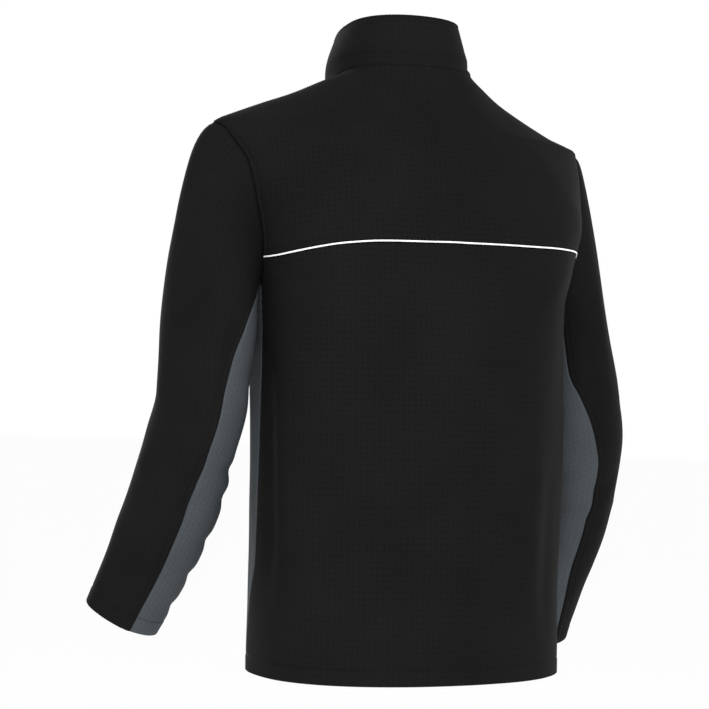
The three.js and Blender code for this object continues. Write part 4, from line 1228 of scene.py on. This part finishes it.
def slider_build(shape):
    half = SLIDER["long"] / 2
    body_outline = rounded_outline(SLIDER["low"], SLIDER["top"], -half, half, 2.2)
    plate(shape, body_outline, PLATE_FACE, CHAIN["out"] + GAP)
    plate(shape, body_outline, CHAIN["in"] - GAP, CHAIN["in"] - GAP - SLIDER["plate"])
    wide, tall = SLIDER["post"]
    post = rounded_outline(wide, wide, half - tall - 0.1, half - 0.1, 0.6)
    plate(shape, post, CHAIN["out"] + GAP + 0.3, CHAIN["in"] - GAP - 0.3, bevel=0.05)


def lug_build(shape):
    """The lug stands on the slider's face, as an arch that the pull tab's bar passes through."""
    turns = [math.pi * i / LUG_STEPS for i in range(LUG_STEPS + 1)]
    sizes = [(LUG["long"], LUG["rise"], 0), (LUG["slot_long"], LUG["slot_rise"], LUG["floor"])]
    rims = []
    for x, order in ((-LUG["wide"] / 2, 1), (LUG["wide"] / 2, -1)):
        for long, rise, floor in sizes[::order]:
            arch = [(math.cos(a) * long / 2, floor + math.sin(a) ** 0.6 * rise) for a in turns]
            rims.append([shape.verts.new((x, -PLATE_FACE + 0.15 - y, z)) for z, y in arch])
    for one, other in zip(rims, rims[1:] + rims[:1]):
        for i in range(-1, LUG_STEPS):
            shape.faces.new((one[i], one[i + 1], other[i + 1], other[i]))


def pull_build(shape):
    """The tab hangs down from its bar. Its two arms leave a window that the lug fits in."""
    bar_half = PULL["arm_middle"] + PULL["arm"] / 2
    turn = Matrix.Rotation(math.pi / 2, 4, "Y")
    round_bar = {"segments": 16, "radius1": PULL["bar"], "radius2": PULL["bar"], "depth": 2 * bar_half}
    bmesh.ops.create_cone(shape, cap_ends=True, matrix=turn, **round_bar)
    half = PULL["thick"] / 2
    for side in (-1, 1):
        arm = rounded_outline(PULL["arm"], PULL["arm"], -PULL["neck"] - 0.6, 0.75, 0.6)
        plate(shape, [(x + side * PULL["arm_middle"], z) for x, z in arm], half, -half, bevel=0.2)
    wide, low, high = PULL["wide"], -PULL["long"], -PULL["neck"]
    tab = rounded_outline(wide, wide - 0.4, low, high, 1.9)
    plate(shape, tab, half, -half, bevel=0.35)
    rim = rounded_outline(wide - 2.4, wide - 2.8, low + 1.6, high - 3.4, 1.2)
    plate(shape, rim, half + 0.12, half - 0.2, bevel=0.1)


middle, rise, out = zip_frame(np.array([SLIDER_LEVEL]))
across = np.cross(rise[0], out[0])
turned = Matrix((Vector((1, 0, 0)), -Vector(out[0]), Vector(rise[0]))).transposed().to_4x4()
stand = Matrix.Translation(Vector(middle[0])) @ turned
slider = metal_piece("zip_slider_casting", slider_build, stand)
lug = metal_piece("zip_slider_lug", lug_build, stand)
pivot = Vector(middle[0]) + Vector(out[0]) * PIVOT_RISE
pull = metal_piece("zip_pull_tab", pull_build, Matrix.Translation(pivot))

# %% [markdown]
# Now each piece takes the place of its imported solid and rides on its body. Every cloth panel is
# listed with the size of the rectangle that it is cut from and its own flat area.

# %% Bodies, replaced nodes and sheets
SHEETS = [
    # piece, shade, cut across and along in metres, flat area, the cloth that holds it
    (back_panel, "black", 0.575, 0.53, 0.266, "back_yoke"),
    (back_yoke, "black", 0.60, 0.29, 0.116, "collar"),
    (side_panels["left"], "grey", 0.10, 0.48, 0.034, "back_panel"),
    (side_panels["right"], "grey", 0.10, 0.48, 0.034, "back_panel"),
    (fronts["left"], "black", 0.30, 0.76, 0.131, "back_yoke"),
    (fronts["right"], "black", 0.30, 0.76, 0.131, "back_yoke"),
    (sleeves["upper", "left"], "black", 0.34, 0.66, 0.119, "back_yoke"),
    (sleeves["upper", "right"], "black", 0.34, 0.67, 0.125, "back_yoke"),
    (sleeves["under", "left"], "grey", 0.16, 0.56, 0.055, "side_panel_left"),
    (sleeves["under", "right"], "grey", 0.16, 0.57, 0.053, "side_panel_right"),
    (collar, "black", 0.41, 0.10, 0.034, "back_yoke"),
]
for piece, shade, wide, long, area, holder in SHEETS:
    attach(piece, "jacket")
    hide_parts(piece.name.removesuffix("_cloth"))

OTHERS = [
    (piping, "jacket", ["yoke_piping"], "reflective_piping"),
    (flange, "jacket", [], "softshell_black"),
    (stitching, "jacket", [], "softshell_black"),
    (tapes["left"], "jacket", ["zip_tape_left"], "zip_tape"),
    (tapes["right"], "jacket", ["zip_tape_right"], "zip_tape"),
    (teeth["left"], "jacket", ["zip_chain"], "zip_teeth"),
    (teeth["right"], "jacket", [], "zip_teeth"),
    (slider, "jacket", ["zip_slider"], "zip_metal"),
    (lug, "jacket", [], "zip_metal"),
    (pull, "pull_tab", ["zip_pull"], "zip_metal"),
]
for piece, rider, nodes, slot in OTHERS:
    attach(piece, rider)
    if nodes:
        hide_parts(*nodes)
print("pieces", len(SHEETS) + len(OTHERS))

# %% [markdown]
# The studio. A pale floor well below the hem, a white sky all round, and large soft lights: the
# main one beside the camera, a weak one at each side, and two in front of the jacket, which show
# its front in the other views. The sky alone would leave black cloth without any folds to see.

# %% Floor, sky and lights
FLOOR_BELOW = 0.85  # metres under the hem
floor_shape = bmesh.new()
bmesh.ops.create_circle(floor_shape, cap_ends=True, segments=96, radius=60)
floor_paint, tree, shader = new_material("pale studio floor", Roughness=0.9, Specular_IOR_Level=0.1)
shader.inputs["Base Color"].default_value = colour("fcfcfc")
floor = new_object("studio_floor", mesh_of(floor_shape, "studio_floor"), [floor_paint])
floor.location.z = cad_box[0][2] - FLOOR_BELOW
floor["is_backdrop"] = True

world = bpy.data.worlds.new("pale sky")
world.use_nodes = True
background = world.node_tree.nodes["Background"]
background.inputs["Color"].default_value = (1, 1, 1, 1)
background.inputs["Strength"].default_value = 1.0
bpy.context.scene.world = world
bpy.context.scene.view_settings.view_transform = "Standard"

LIGHTS = [
    # name, azimuth from straight behind to the wearer's left, height, distance, size, watts
    ("top light", 20, 2.9, 1.6, 1.6, 20),
    ("back light", 24, 0.5, 3.2, 1.4, 48),
    ("left light", 85, 0.3, 3.2, 1.6, 6),
    ("right light", -80, 0.3, 3.4, 1.6, 10),
    ("front light", 172, 0.9, 3.4, 1.6, 62),
    ("front side light", 248, 0.3, 3.4, 1.6, 34),
]
centre_point = Vector((0, 0.05, -0.35))
for name, azimuth, height, away, size, watts in LIGHTS:
    data = bpy.data.lights.new(name, "AREA")
    data.shape = "DISK"
    data.size = size
    data.energy = watts
    lamp = bpy.data.objects.new(name, data)
    a = math.radians(azimuth)
    lamp.location = centre_point + Vector((math.sin(a) * away, math.cos(a) * away, height))
    lamp.rotation_euler = (centre_point - lamp.location).to_track_quat("-Z", "Y").to_euler()
    bpy.context.scene.collection.objects.link(lamp)

# %% [markdown]
# Last, the sizes: the dressed jacket should stay inside the imported model's box, apart from a
# little that cloth may stand proud. How far it has grown past that box on each side is printed.

# %% Sizes and finish
scene_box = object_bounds()
grown = [[round((v - c) / MM, 1) for v, c in zip(*pair)] for pair in zip(scene_box, cad_box)]
print("grown by, in mm:", grown)
